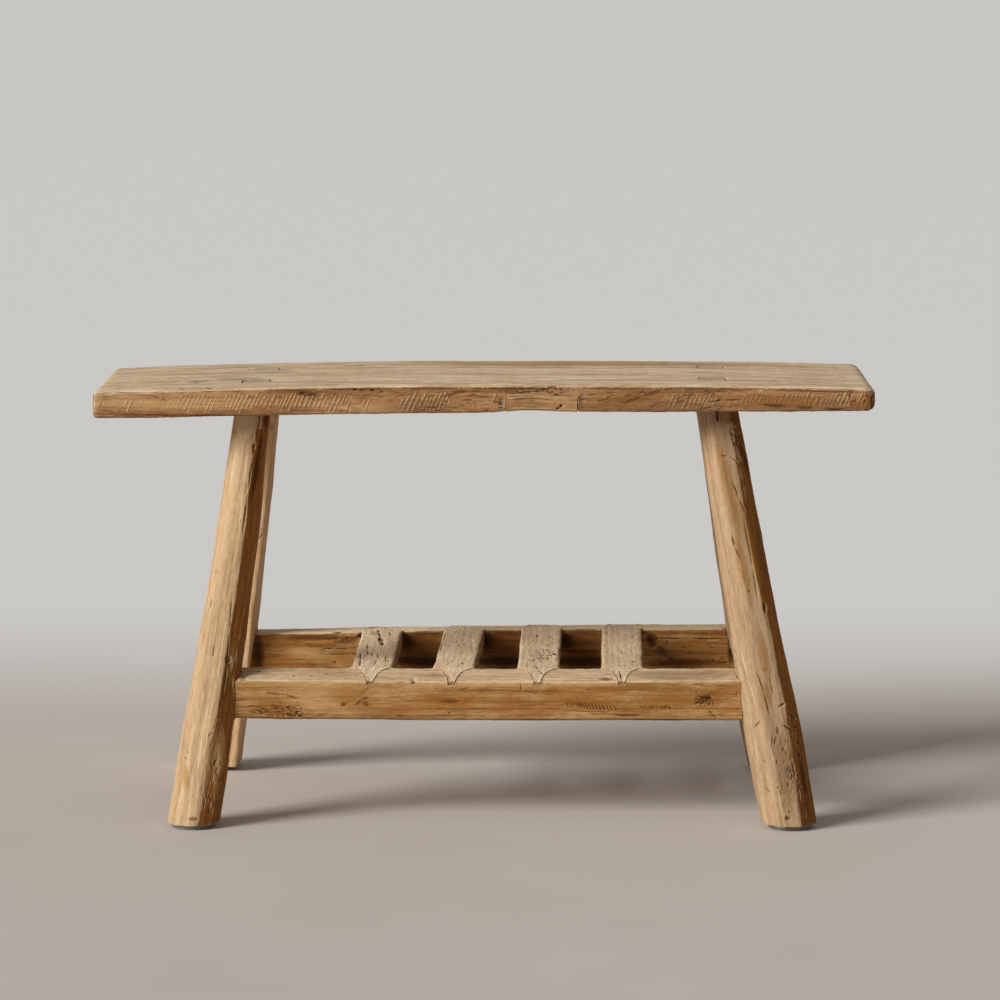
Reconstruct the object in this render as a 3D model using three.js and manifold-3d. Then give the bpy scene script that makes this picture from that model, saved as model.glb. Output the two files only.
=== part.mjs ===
// A rustic teak bench. A thick plank seat stands on four splayed legs, hewn to rough
// facets, whose tenons come up through the plank and are wedged there. Low down,
// two long rails are tenoned into the legs and pegged, and four short slats are let
// into the tops of the rails to make a shelf.
// Millimetres. +Z is up, +X runs along the seat and -Y is the front. The origin is on
// the floor under the middle of the bench.

import * as THREE from 'three';
import { mergeVertices } from 'three/addons/utils/BufferGeometryUtils.js';
import Module from 'manifold-3d';

const wasm = await Module();
wasm.setup();

// Seat plank
const SEAT_LENGTH = 907;
const SEAT_DEPTH = 300;
const SEAT_HEIGHT = 512;
const SEAT_THICKNESS = 32.5;
const SEAT_CROWN = 9.5;
const SEAT_WAVE = 2.6;
const SEAT_CORNER_LEFT = 5;
const SEAT_CORNER_RIGHT = 11;
const SEAT_END_ROUND_LEFT = 2;
const SEAT_END_ROUND_RIGHT = 6;
const SEAT_ARRIS = 2.4;
const SEAT_FRONT_WANE = 5;

// Dutchman let into the front edge of the plank
const PATCH_LENGTH = 82;
const PATCH_HEIGHT = 19.5;
const PATCH_ARCH = 1.6;
const PATCH_DEPTH = 14;
const PATCH_RIGHT_OF_MIDDLE = 67;

// Legs
const LEG_END_INSET_FRONT_LEFT = 182;
const LEG_END_INSET_FRONT_RIGHT = 181.5;
const LEG_END_INSET_BACK_LEFT = 185;
const LEG_END_INSET_BACK_RIGHT = 178.5;
const LEG_SIDE_INSET = 74;
const LEG_TOP_WIDTH_LEFT = 44;
const LEG_FOOT_WIDTH_LEFT = 62;
const LEG_TOP_WIDTH_RIGHT = 50;
const LEG_FOOT_WIDTH_RIGHT = 66;
const LEG_BOW_FRONT_LEFT = 3.5;
const LEG_BOW_BACK_LEFT = 0.5;
const LEG_BOW_RIGHT = 0.9;
const LEG_SPLAY_FRONT_LEFT = THREE.MathUtils.degToRad(8);
const LEG_SPLAY_FRONT_RIGHT = THREE.MathUtils.degToRad(9.9);
const LEG_SPLAY_BACK_LEFT = THREE.MathUtils.degToRad(8.2);
const LEG_SPLAY_BACK_RIGHT = THREE.MathUtils.degToRad(9.6);
const LEG_SPLAY_DEPTH = THREE.MathUtils.degToRad(13);
const LEG_TURN_LEFT = THREE.MathUtils.degToRad(-14.5);
const LEG_TURN_RIGHT = THREE.MathUtils.degToRad(8);
const LEG_TWIST_LEFT = THREE.MathUtils.degToRad(10);
const LEG_TURN_BACK_LEFT = THREE.MathUtils.degToRad(4);
const LEG_FACETS = 8;
const LEG_FACETS_BACK_LEFT = 4;
const LEG_RINGS = 12;

// Through tenons and their wedges
const TENON_WIDTH = 30;
const TENON_DEPTH = 36;
const TENON_ROOT = 24;
const WEDGE_TOP_THICKNESS = 3.4;
const WEDGE_TIP_THICKNESS = 1;
const WEDGE_LENGTH = 22;

// Rails
const FRONT_RAIL_TOP = 178;
const FRONT_RAIL_SAG = 1.8;
const FRONT_RAIL_SET_IN = 8;
const BACK_RAIL_TOP = 175.8;
const BACK_RAIL_RISE = 7.4;
const BACK_RAIL_CROWN = 1.4;
const BACK_RAIL_SET_OUT = 6.5;
const RAIL_DEPTH = 44;
const RAIL_FACE = 56.5;
const RAIL_ARRIS = 4;
const RAIL_WAVE = 1.4;
const RAIL_SWELL = 1;
const RAIL_BITE = 5;
const FRONT_RAIL_FALL = 8.6;
const BACK_RAIL_FALL = 0.4;
const RAIL_TENON_THICKNESS = 22;
const RAIL_TENON_HEIGHT = 28;
const RAIL_TENON_LENGTH = 38;
const RAIL_TENON_CENTRE = 149;
const PEG_DIAMETER = 9;
const PEG_PAST_TENON = 6;
const PEG_SIDES = 10;

// Shelf slats
const SLAT_COUNT = 4;
const SLAT_WIDTH = 50;
const SLAT_THICKNESS = 20;
const SLAT_PITCH = 97.8;
const SLAT_ROW_RIGHT_OF_MIDDLE = 14.5;
const SLAT_PROUD = 1;
const SLAT_ARRIS = 2;
const TONGUE_ROOT_THICKNESS = 12;
const TONGUE_TIP_THICKNESS = 4.5;

// Glides nailed under the feet
const GLIDE_DIAMETER = 50;
const GLIDE_THICKNESS = 5;
const GLIDE_PIN_DIAMETER = 5;
const GLIDE_PIN_LENGTH = 12;
const GLIDE_SIDES = 28;

// Clearance between touching pieces, and the overrun of a cut past its piece
const SEAM = 0.3;
const OVERRUN = 8;

// Long profile of the plank, from the left end to the right end. Each row is a place
// as a share of half the length, then the fall of the top and of the underside as
// shares of the crown.
const seatProfileShares = [
  [-1, 1, 0.74],
  [-0.85, 0.68, 0.68],
  [-0.7, 0.47, 0.5],
  [-0.5, 0.25, 0.35],
  [-0.3, 0.08, 0.2],
  [-0.2, 0, 0.12],
  [0.02, 0, 0],
  [0.07, 0, -0.18],
  [0.1, 0, -0.29],
  [0.13, 0, -0.28],
  [0.19, 0, -0.16],
  [0.27, 0, -0.05],
  [0.5, 0, -0.1],
  [0.62, 0.04, -0.17],
  [0.78, 0.13, -0.12],
  [0.93, 0.3, -0.17],
  [1, 0.4, -0.22],
];

// How far the front and the back edge wander in at even steps along the plank, as
// shares of the wave.
const seatFrontEdgeShares = [0.4, 0, 0.5, 0.2, 0.9, 0.3, 0.6, 0, 0.7, 0.2, 0.8, 0.3, 0.6];
const seatBackEdgeShares = [0.3, 0.6, 0.1, 0.8, 0.4, 0, 0.5, 0.9, 0.3, 0.7, 0.2, 0.6, 0.4];

// Width of a leg at even steps from the floor to the seat, as shares of the way from
// the top width to the foot width.
const legWidthShares = {
  front_left: [1, 0.96, 0.86, 0.78, 0.65, 0.55, 0.46, 0.36, 0.2, 0, 0],
  front_right: [0.88, 1.05, 1.14, 0.93, 0.7, 0.52, 0.42, 0.34, 0.25, 0.17, 0],
  back_left: [1, 0.97, 0.96, 0.84, 0.76, 0.66, 0.5, 0.36, 0.24, 0.1, 0],
  back_right: [0.88, 1.02, 1.1, 0.96, 0.74, 0.56, 0.46, 0.3, 0.27, 0.12, 0],
};

// Unevenness of the hewn facets, as a share of the leg's half width. It beats from one
// facet to the next and drifts along the leg, both as shares of a full wave.
const hewnUnevenShare = 0.028;
const hewnBeatShare = 0.37;
const hewnDriftShare = 1.3;

// The share of a facet's angle that is flat, more on the leg that is nearly square, and
// the power that sharpens the edges between facets.
const hewnFlatShare = 0.76;
const squareFlatShare = 0.93;
const hewnSharpnessPower = 26;

// Wander of the rails' faces at even steps along them, as shares of the wave.
const railTopShares = [0, 0.5, 0.1, 0.7, 0.2, 0.6, 0, 0.4, 0.2];
const railBottomShares = [0.3, 0, 0.8, 0.4, 0.9, 0.2, 0.7, 0.1, 0.5];
const railOuterShares = [0.2, 0.7, 0.3, 0, 0.6, 0.9, 0.4, 0.8, 0.3];

// Places of the slats, as shares of their width: how far the front end of each lies
// off the even pitch, and how far its back end lies to the right of its front end.
const slatShiftShares = [0.006, -0.034, -0.01, 0.002];
const slatSkewShares = [0.066, 0.158, 0.078, 0.082];

// Narrowing of a slat along its length, as shares of its width.
const slatWaistShares = [0, 0.02, 0.035, 0.01, 0.03, 0];

// A slat's tongues, from the inner to the outer face of the rail: the place across the
// rail, and the tongue's width there as a share of the slat's. In front they narrow to
// a tip, and at the back they stay broad.
const frontTongueShares = [
  [0, 1],
  [0.12, 0.72],
  [0.25, 0.48],
  [0.5, 0.3],
  [0.75, 0.21],
  [1, 0.15],
];
const backTongueShares = [
  [0, 1],
  [0.15, 0.93],
  [0.4, 0.8],
  [0.7, 0.7],
  [1, 0.64],
];

// Width of the tongue's root inside the slat, as a share of the slat's.
const tongueRootShare = 0.8;

const UNDERSIDE = SEAT_HEIGHT - SEAT_THICKNESS;

const legPlans = {
  front_left: {
    side: -1, row: -1, inset: LEG_END_INSET_FRONT_LEFT, splay: LEG_SPLAY_FRONT_LEFT,
    top: LEG_TOP_WIDTH_LEFT, foot: LEG_FOOT_WIDTH_LEFT, bow: LEG_BOW_FRONT_LEFT,
    facets: LEG_FACETS, turn: LEG_TURN_LEFT, twist: LEG_TWIST_LEFT, beat: 0.13,
    flatShare: hewnFlatShare,
  },
  front_right: {
    side: 1, row: -1, inset: LEG_END_INSET_FRONT_RIGHT, splay: LEG_SPLAY_FRONT_RIGHT,
    top: LEG_TOP_WIDTH_RIGHT, foot: LEG_FOOT_WIDTH_RIGHT, bow: LEG_BOW_RIGHT,
    facets: LEG_FACETS, turn: LEG_TURN_RIGHT, twist: 0, beat: 0.41,
    flatShare: hewnFlatShare,
  },
  back_left: {
    side: -1, row: 1, inset: LEG_END_INSET_BACK_LEFT, splay: LEG_SPLAY_BACK_LEFT,
    top: LEG_TOP_WIDTH_LEFT, foot: LEG_FOOT_WIDTH_LEFT, bow: LEG_BOW_BACK_LEFT,
    facets: LEG_FACETS_BACK_LEFT, turn: LEG_TURN_BACK_LEFT, twist: 0, beat: 0.13,
    flatShare: squareFlatShare,
  },
  back_right: {
    side: 1, row: 1, inset: LEG_END_INSET_BACK_RIGHT, splay: LEG_SPLAY_BACK_RIGHT,
    top: LEG_TOP_WIDTH_RIGHT, foot: LEG_FOOT_WIDTH_RIGHT, bow: LEG_BOW_RIGHT,
    facets: LEG_FACETS, turn: LEG_TURN_RIGHT, twist: 0, beat: 0.41,
    flatShare: hewnFlatShare,
  },
};

const railPlans = {
  front: {
    row: -1, top: FRONT_RAIL_TOP, rise: 0, crown: -FRONT_RAIL_SAG, fall: FRONT_RAIL_FALL,
    swell: RAIL_SWELL, setOut: -FRONT_RAIL_SET_IN, tongueShares: frontTongueShares,
  },
  back: {
    row: 1, top: BACK_RAIL_TOP, rise: BACK_RAIL_RISE, crown: BACK_RAIL_CROWN,
    fall: BACK_RAIL_FALL, swell: 0, setOut: BACK_RAIL_SET_OUT, tongueShares: backTongueShares,
  },
};

// Value of a table of evenly spaced shares at a place from 0 to 1.
function evenShare(shares, place) {
  const steps = shares.length - 1;
  const at = THREE.MathUtils.clamp(place, 0, 1) * steps;
  const low = Math.min(Math.floor(at), steps - 1);
  return THREE.MathUtils.lerp(shares[low], shares[low + 1], at - low);
}

// Closed skin through rings of equal point counts, capped at both ends.
function loft(rings) {
  const count = rings[0].length;
  const points = rings.flat();
  const middle = (ring) => ring
    .reduce((sum, p) => sum.add(p), new THREE.Vector3())
    .divideScalar(ring.length);
  const firstCap = points.push(middle(rings[0])) - 1;
  const lastCap = points.push(middle(rings[rings.length - 1])) - 1;
  const lastRing = (rings.length - 1) * count;
  const faces = [];
  for (let j = 0; j < count; j += 1) {
    const next = (j + 1) % count;
    for (let i = 0; i < rings.length - 1; i += 1) {
      const near = i * count;
      const far = near + count;
      faces.push(near + j, near + next, far + next);
      faces.push(near + j, far + next, far + j);
    }
    faces.push(firstCap, next, j);
    faces.push(lastCap, lastRing + j, lastRing + next);
  }
  const flat = points.flatMap((p) => [p.x, p.y, p.z]);
  const geometry = new THREE.BufferGeometry();
  geometry.setAttribute('position', new THREE.Float32BufferAttribute(flat, 3));
  geometry.setIndex(faces);
  return faceOut(geometry);
}

// Turns every face over when the skin encloses a negative volume.
function faceOut(geometry) {
  const at = geometry.attributes.position;
  const index = geometry.index.array;
  const corner = (i) => new THREE.Vector3().fromBufferAttribute(at, index[i]);
  let volume = 0;
  for (let i = 0; i < index.length; i += 3) {
    volume += corner(i).dot(corner(i + 1).cross(corner(i + 2)));
  }
  if (volume < 0) {
    for (let i = 0; i < index.length; i += 3) {
      [index[i], index[i + 1]] = [index[i + 1], index[i]];
    }
  }
  return geometry;
}

function toSolid(geometry) {
  const bare = geometry.clone();
  bare.deleteAttribute('normal');
  bare.deleteAttribute('uv');
  const merged = mergeVertices(bare);
  return new wasm.Manifold(new wasm.Mesh({
    numProp: 3,
    vertProperties: new Float32Array(merged.attributes.position.array),
    triVerts: new Uint32Array(merged.index.array),
  }));
}

function toGeometry(solid) {
  const mesh = solid.getMesh();
  const geometry = new THREE.BufferGeometry();
  geometry.setAttribute('position', new THREE.BufferAttribute(mesh.vertProperties, 3));
  geometry.setIndex(new THREE.BufferAttribute(mesh.triVerts, 1));
  return geometry;
}

function boxBetween(low, high) {
  const size = new THREE.Vector3().subVectors(high, low);
  const box = new THREE.BoxGeometry(size.x, size.y, size.z);
  const middle = new THREE.Vector3().addVectors(low, high).multiplyScalar(0.5);
  return toSolid(box.translate(middle.x, middle.y, middle.z));
}

// Heights of the plank's top and underside at a place from -1 to 1 along it.
function seatHeights(place) {
  const rows = seatProfileShares;
  const after = Math.max(1, rows.findIndex((row) => row[0] >= place));
  const [from, to] = [rows[after - 1], rows[after]];
  const part = (place - from[0]) / (to[0] - from[0]);
  const fall = THREE.MathUtils.lerp(from[1], to[1], part) * SEAT_CROWN;
  const sag = THREE.MathUtils.lerp(from[2], to[2], part) * SEAT_CROWN;
  return { top: SEAT_HEIGHT - fall, under: UNDERSIDE - sag };
}

// One cross-section of the plank. The drawn-in distances round its corners and ends.
function seatRing(x, drawnIn, endRound) {
  const place = THREE.MathUtils.clamp(x / (SEAT_LENGTH / 2), -1, 1);
  const { top, under } = seatHeights(place);
  const along = (place + 1) / 2;
  const front = -SEAT_DEPTH / 2 + drawnIn + SEAT_WAVE * evenShare(seatFrontEdgeShares, along);
  const back = SEAT_DEPTH / 2 - drawnIn - SEAT_WAVE * evenShare(seatBackEdgeShares, along);
  const high = top - endRound;
  const low = under + endRound;
  return [
    [front + SEAT_ARRIS, low],
    [back - SEAT_ARRIS, low],
    [back, low + SEAT_ARRIS],
    [back, high - SEAT_ARRIS],
    [back - SEAT_ARRIS, high],
    [front + SEAT_FRONT_WANE, high],
    [front, high - SEAT_FRONT_WANE / 2],
    [front, low + SEAT_ARRIS],
  ].map(([y, z]) => new THREE.Vector3(x, y, z));
}

function seatBlock() {
  const half = SEAT_LENGTH / 2;
  const quarterShares = [1, 2 / 3, 1 / 3, 0];
  const roundedEnd = (side, corner, endRound) => quarterShares.map((share) => {
    const angle = share * Math.PI / 2;
    const x = side * (half - corner * (1 - Math.sin(angle)));
    const inwards = 1 - Math.cos(angle);
    return seatRing(x, corner * inwards, endRound * inwards);
  });
  const inner = seatProfileShares
    .map((row) => row[0] * half)
    .filter((x) => x > SEAT_CORNER_LEFT - half && x < half - SEAT_CORNER_RIGHT);
  return toSolid(loft([
    ...roundedEnd(-1, SEAT_CORNER_LEFT, SEAT_END_ROUND_LEFT),
    ...inner.map((x) => seatRing(x, 0, 0)),
    ...roundedEnd(1, SEAT_CORNER_RIGHT, SEAT_END_ROUND_RIGHT).reverse(),
  ]));
}

function legAxis(plan, z) {
  const drop = UNDERSIDE - z;
  const bow = plan.bow * Math.sin(Math.PI * THREE.MathUtils.clamp(z / UNDERSIDE, 0, 1));
  const out = SEAT_LENGTH / 2 - plan.inset + drop * Math.tan(plan.splay) - bow;
  const away = SEAT_DEPTH / 2 - LEG_SIDE_INSET + drop * Math.tan(LEG_SPLAY_DEPTH);
  return new THREE.Vector3(plan.side * out, plan.row * away, z);
}

function legHalfWidth(name, z) {
  const plan = legPlans[name];
  const share = evenShare(legWidthShares[name], z / UNDERSIDE);
  return THREE.MathUtils.lerp(plan.top, plan.foot, share) / 2;
}

// Distance of each facet from the leg's axis, around 1. It drifts slowly with height.
function facetReach(plan, facet, z) {
  const drift = facet * hewnBeatShare + plan.beat + hewnDriftShare * z / UNDERSIDE;
  return 1 + hewnUnevenShare * Math.sin(2 * Math.PI * drift);
}

// One level cross-section of a leg: facets with soft corners between them, as wide along
// X as the leg is at that height, and grown all round by a clearance.
function legRing(name, z, grow) {
  const plan = legPlans[name];
  const step = 2 * Math.PI / plan.facets;
  const facets = Array.from({ length: plan.facets }, (_, k) => ({
    angle: -Math.PI / 2 + plan.turn + plan.twist * z / UNDERSIDE + k * step,
    reach: facetReach(plan, k, z),
  }));
  const radius = (angle) => facets
    .map((facet) => Math.max(0, Math.cos(angle - facet.angle) / facet.reach))
    .reduce((sum, part) => sum + part ** hewnSharpnessPower, 0) ** (-1 / hewnSharpnessPower);
  const corners = facets.flatMap(({ angle }) => [-1, 1].map((end) => {
    const turned = angle + end * plan.flatShare * step / 2;
    return [radius(turned) * Math.cos(turned), radius(turned) * Math.sin(turned)];
  }));
  const across = corners.map(([x]) => x);
  const [low, high] = [Math.min(...across), Math.max(...across)];
  const scale = 2 * (legHalfWidth(name, z) + grow) / (high - low);
  const axis = legAxis(plan, z);
  return corners.map(([x, y]) => new THREE.Vector3(
    axis.x + (x - (low + high) / 2) * scale,
    axis.y - plan.row * y * scale,
    z,
  ));
}

function legStock(name, grow) {
  const top = UNDERSIDE + SEAT_THICKNESS / 2;
  const rings = Array.from({ length: LEG_RINGS }, (_, i) => {
    const z = THREE.MathUtils.lerp(GLIDE_THICKNESS, top, i / (LEG_RINGS - 1));
    return legRing(name, z, grow);
  });
  return toSolid(loft(rings));
}

// A rectangular bar along a leg's axis between two heights. The halves are its half
// sizes along X and Y at each height.
function leaningBar(plan, low, high) {
  const ring = ({ z, halfX, halfY }) => {
    const axis = legAxis(plan, z);
    return [[-1, -1], [1, -1], [1, 1], [-1, 1]].map(([sx, sy]) => (
      new THREE.Vector3(axis.x + sx * halfX, axis.y + sy * halfY, z)
    ));
  };
  return toSolid(loft([ring(low), ring(high)]));
}

function seatTenon(plan, grow) {
  const halfX = TENON_WIDTH / 2 + grow;
  const halfY = TENON_DEPTH / 2 + grow;
  return leaningBar(
    plan,
    { z: UNDERSIDE - TENON_ROOT, halfX, halfY },
    { z: SEAT_HEIGHT + OVERRUN, halfX, halfY },
  );
}

// The wedge narrows downwards. Its sides run on above the seat, where it is cut flush.
function tenonWedge(plan, grow) {
  const low = SEAT_HEIGHT - WEDGE_LENGTH - grow;
  const high = SEAT_HEIGHT + OVERRUN;
  const perHeight = (WEDGE_TOP_THICKNESS - WEDGE_TIP_THICKNESS) / WEDGE_LENGTH;
  const halfX = TENON_WIDTH / 2 + 2 * grow;
  const halfYAt = (z) => (WEDGE_TOP_THICKNESS - perHeight * (SEAT_HEIGHT - z)) / 2 + grow;
  return leaningBar(
    plan,
    { z: low, halfX, halfY: halfYAt(low) },
    { z: high, halfX, halfY: halfYAt(high) },
  );
}

function patchBlock(grow) {
  const half = PATCH_LENGTH / 2 + grow;
  const shoulder = UNDERSIDE + PATCH_HEIGHT - PATCH_ARCH + grow;
  const outline = new THREE.Shape();
  outline.moveTo(-half, UNDERSIDE - OVERRUN);
  outline.lineTo(half, UNDERSIDE - OVERRUN);
  outline.lineTo(half, shoulder);
  outline.quadraticCurveTo(0, shoulder + 2 * PATCH_ARCH, -half, shoulder);
  outline.closePath();
  const depth = OVERRUN + PATCH_DEPTH + grow;
  const bar = new THREE.ExtrudeGeometry(outline, { depth, bevelEnabled: false, curveSegments: 8 });
  bar.rotateX(Math.PI / 2);
  bar.translate(PATCH_RIGHT_OF_MIDDLE, depth - SEAT_DEPTH / 2 - OVERRUN, 0);
  return toSolid(bar);
}

const LEG_OUT_AT_RAILS = Math.abs(legAxis(legPlans.front_left, RAIL_TENON_CENTRE).y);

// Distance of a rail's inner face from the bench's middle.
function railInner(plan) {
  return LEG_OUT_AT_RAILS + plan.setOut - RAIL_DEPTH / 2;
}

// X of the end of a rail at a height: a little way into the leg's round.
function railEnd(legName, z) {
  const plan = legPlans[legName];
  const inner = Math.abs(legAxis(plan, z).x) - legHalfWidth(legName, z);
  return plan.side * (inner + RAIL_BITE);
}

const RAIL_LEFT = railEnd('front_left', RAIL_TENON_CENTRE);
const RAIL_RIGHT = railEnd('front_right', RAIL_TENON_CENTRE);

// Height of a rail's top at an X along it. Across runs from 0 at the inner face to 1
// at the outer face.
function railTopAt(plan, x, across) {
  const along = THREE.MathUtils.clamp((x - RAIL_LEFT) / (RAIL_RIGHT - RAIL_LEFT), 0, 1);
  const crown = plan.crown * Math.sin(Math.PI * along);
  return plan.top + plan.rise * along + crown - plan.fall * across;
}

function railStock(name) {
  const plan = railPlans[name];
  const steps = railTopShares.length - 1;
  const rings = Array.from({ length: steps + 1 }, (_, i) => {
    const place = i / steps;
    const dip = RAIL_WAVE * evenShare(railTopShares, place);
    const lift = RAIL_WAVE * evenShare(railBottomShares, place);
    const inset = RAIL_WAVE * evenShare(railOuterShares, place);
    const inner = railInner(plan);
    const outer = inner + RAIL_DEPTH - inset;
    const x = THREE.MathUtils.lerp(RAIL_LEFT, RAIL_RIGHT, place);
    const innerTop = railTopAt(plan, x, 0);
    const outerTop = railTopAt(plan, x, 1) - dip / 2;
    const bottom = innerTop - RAIL_FACE + lift - plan.swell * (2 * place - 1);
    const section = [
      [inner, bottom + RAIL_ARRIS],
      [inner + RAIL_ARRIS, bottom],
      [outer - RAIL_ARRIS, bottom],
      [outer, bottom + RAIL_ARRIS],
      [outer, outerTop - RAIL_ARRIS / 2],
      [outer - RAIL_ARRIS / 2, outerTop],
      [inner + RAIL_ARRIS / 2, innerTop],
      [inner, innerTop - RAIL_ARRIS / 2],
    ];
    return section.map(([away, z]) => new THREE.Vector3(
      THREE.MathUtils.lerp(railEnd(`${name}_left`, z), railEnd(`${name}_right`, z), place),
      plan.row * away,
      z,
    ));
  });
  return toSolid(loft(rings));
}

// The blind tenon at one end of a rail, from inside the rail into the leg.
function railTenon(legName, grow) {
  const plan = legPlans[legName];
  const shoulder = Math.abs(railEnd(legName, RAIL_TENON_CENTRE)) - RAIL_BITE;
  const root = plan.side * (shoulder - RAIL_TENON_LENGTH / 2);
  const tip = plan.side * (shoulder + RAIL_TENON_LENGTH + 2 * grow);
  const middle = plan.row * LEG_OUT_AT_RAILS;
  const halfY = RAIL_TENON_THICKNESS / 2 + grow;
  const halfZ = RAIL_TENON_HEIGHT / 2 + grow;
  return boxBetween(
    new THREE.Vector3(Math.min(root, tip), middle - halfY, RAIL_TENON_CENTRE - halfZ),
    new THREE.Vector3(Math.max(root, tip), middle + halfY, RAIL_TENON_CENTRE + halfZ),
  );
}

// The peg across a rail's tenon. It goes in from the leg's back and ends blind, short
// of its front. A cut for it runs on past the back.
function railPeg(legName, grow, pastBack) {
  const plan = legPlans[legName];
  const shoulder = Math.abs(railEnd(legName, RAIL_TENON_CENTRE)) - RAIL_BITE;
  const x = plan.side * (shoulder + RAIL_TENON_LENGTH / 2);
  const axis = legAxis(plan, RAIL_TENON_CENTRE);
  const flush = Math.sqrt(legHalfWidth(legName, RAIL_TENON_CENTRE) ** 2 - (axis.x - x) ** 2);
  const back = axis.y + flush - PEG_DIAMETER / 4 + pastBack;
  const end = axis.y - RAIL_TENON_THICKNESS / 2 - PEG_PAST_TENON - grow;
  const radius = PEG_DIAMETER / 2 + grow;
  const peg = new THREE.CylinderGeometry(radius, radius, back - end, PEG_SIDES);
  peg.translate(x, (back + end) / 2, RAIL_TENON_CENTRE);
  return toSolid(peg);
}

function slatAxis(index, y) {
  const first = SLAT_ROW_RIGHT_OF_MIDDLE - SLAT_PITCH * (SLAT_COUNT - 1) / 2;
  const shift = slatShiftShares[index % slatShiftShares.length];
  const skew = slatSkewShares[index % slatSkewShares.length];
  const front = -railInner(railPlans.front);
  const along = (y - front) / (railInner(railPlans.back) - front);
  return first + SLAT_PITCH * index + SLAT_WIDTH * (shift + skew * along);
}

function slatBody(index) {
  const front = SEAM - railInner(railPlans.front);
  const back = railInner(railPlans.back) - SEAM;
  const steps = slatWaistShares.length - 1;
  const rings = Array.from({ length: steps + 1 }, (_, i) => {
    const y = THREE.MathUtils.lerp(front, back, i / steps);
    const waist = slatWaistShares[(i + index) % (steps + 1)];
    const ends = i === 0 || i === steps;
    const half = SLAT_WIDTH / 2 * (ends ? 1 : 1 - waist);
    const middle = slatAxis(index, y);
    const top = SLAT_PROUD + THREE.MathUtils.lerp(
      railTopAt(railPlans.front, middle, 0),
      railTopAt(railPlans.back, middle, 0),
      i / steps,
    );
    return [
      [-half, top - SLAT_THICKNESS],
      [half, top - SLAT_THICKNESS],
      [half, top - SLAT_ARRIS],
      [half - SLAT_ARRIS, top],
      [-half + SLAT_ARRIS, top],
      [-half, top - SLAT_ARRIS],
    ].map(([x, z]) => new THREE.Vector3(middle + x, y, z));
  });
  return toSolid(loft(rings));
}

// A slat's tongue in the top of one rail. Grown, it is the cut in the rail, open at
// the top and past both faces.
function slatTongue(index, plan, grow) {
  const inner = railInner(plan);
  const outerFace = RAIL_DEPTH - RAIL_WAVE;
  const rowAt = (across, away, widthShare, sunk) => {
    const y = plan.row * (inner + away);
    const half = SLAT_WIDTH / 2 * widthShare + grow;
    const thick = THREE.MathUtils.lerp(TONGUE_ROOT_THICKNESS, TONGUE_TIP_THICKNESS, across);
    const middle = slatAxis(index, y);
    const top = railTopAt(plan, middle, across) + SLAT_PROUD * (1 - across) - sunk;
    const cover = grow > 0 ? OVERRUN : 0;
    return [[-half, -thick - grow], [half, -thick - grow], [half, cover], [-half, cover]]
      .map(([x, up]) => new THREE.Vector3(middle + x, y, top + up));
  };
  const rings = grow > 0
    ? [rowAt(0, -OVERRUN, 1, 0)]
    : [rowAt(0, -SLAT_THICKNESS / 2, tongueRootShare, SLAT_ARRIS / 2)];
  plan.tongueShares.forEach(([across, widthShare]) => {
    rings.push(rowAt(across, across * outerFace, widthShare, 0));
  });
  if (grow > 0) {
    const [, tipShare] = plan.tongueShares[plan.tongueShares.length - 1];
    rings.push(rowAt(1, outerFace + OVERRUN, tipShare, 0));
  }
  return toSolid(loft(rings));
}

// A glide: a round disc with a pin up into the foot.
function footGlide(plan, grow) {
  const axis = legAxis(plan, GLIDE_THICKNESS);
  const pin = GLIDE_PIN_DIAMETER / 2 + grow;
  const rim = GLIDE_THICKNESS / 4;
  const disc = GLIDE_DIAMETER / 2;
  const outline = [
    [0, 0],
    [disc - rim, 0],
    [disc, rim],
    [disc, GLIDE_THICKNESS],
    [pin, GLIDE_THICKNESS],
    [pin, GLIDE_THICKNESS + GLIDE_PIN_LENGTH + grow],
    [0, GLIDE_THICKNESS + GLIDE_PIN_LENGTH + grow],
  ].map(([r, z]) => new THREE.Vector2(r, z));
  const turned = new THREE.LatheGeometry(outline, GLIDE_SIDES);
  turned.rotateX(Math.PI / 2);
  turned.translate(axis.x, axis.y, 0);
  return toSolid(turned);
}

const woods = {
  seat: { color: 0xb08a5c, roughness: 0.72 },
  leg: { color: 0xb98f5e, roughness: 0.7 },
  rail: { color: 0xab8050, roughness: 0.72 },
  slat: { color: 0xb9a184, roughness: 0.82 },
  patch: { color: 0xa9824f, roughness: 0.75 },
  wedge: { color: 0xa89a86, roughness: 0.85 },
  peg: { color: 0x8a6238, roughness: 0.75 },
};
const glideFinish = { color: 0xa9aca6, roughness: 0.5 };

const bench = new THREE.Group();

function addPiece(name, solid, finish) {
  const material = new THREE.MeshStandardMaterial({ ...finish, metalness: 0, flatShading: true });
  const mesh = new THREE.Mesh(toGeometry(solid), material);
  mesh.name = name;
  bench.add(mesh);
}

const block = seatBlock();
const legNames = Object.keys(legPlans);

const patchCut = patchBlock(SEAM);
const seat = legNames
  .reduce((plank, name) => plank.subtract(seatTenon(legPlans[name], SEAM)), block)
  .subtract(patchCut);
addPiece('seat_plank', seat, woods.seat);
addPiece('edge_patch', patchBlock(0).intersect(block), woods.patch);

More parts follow.
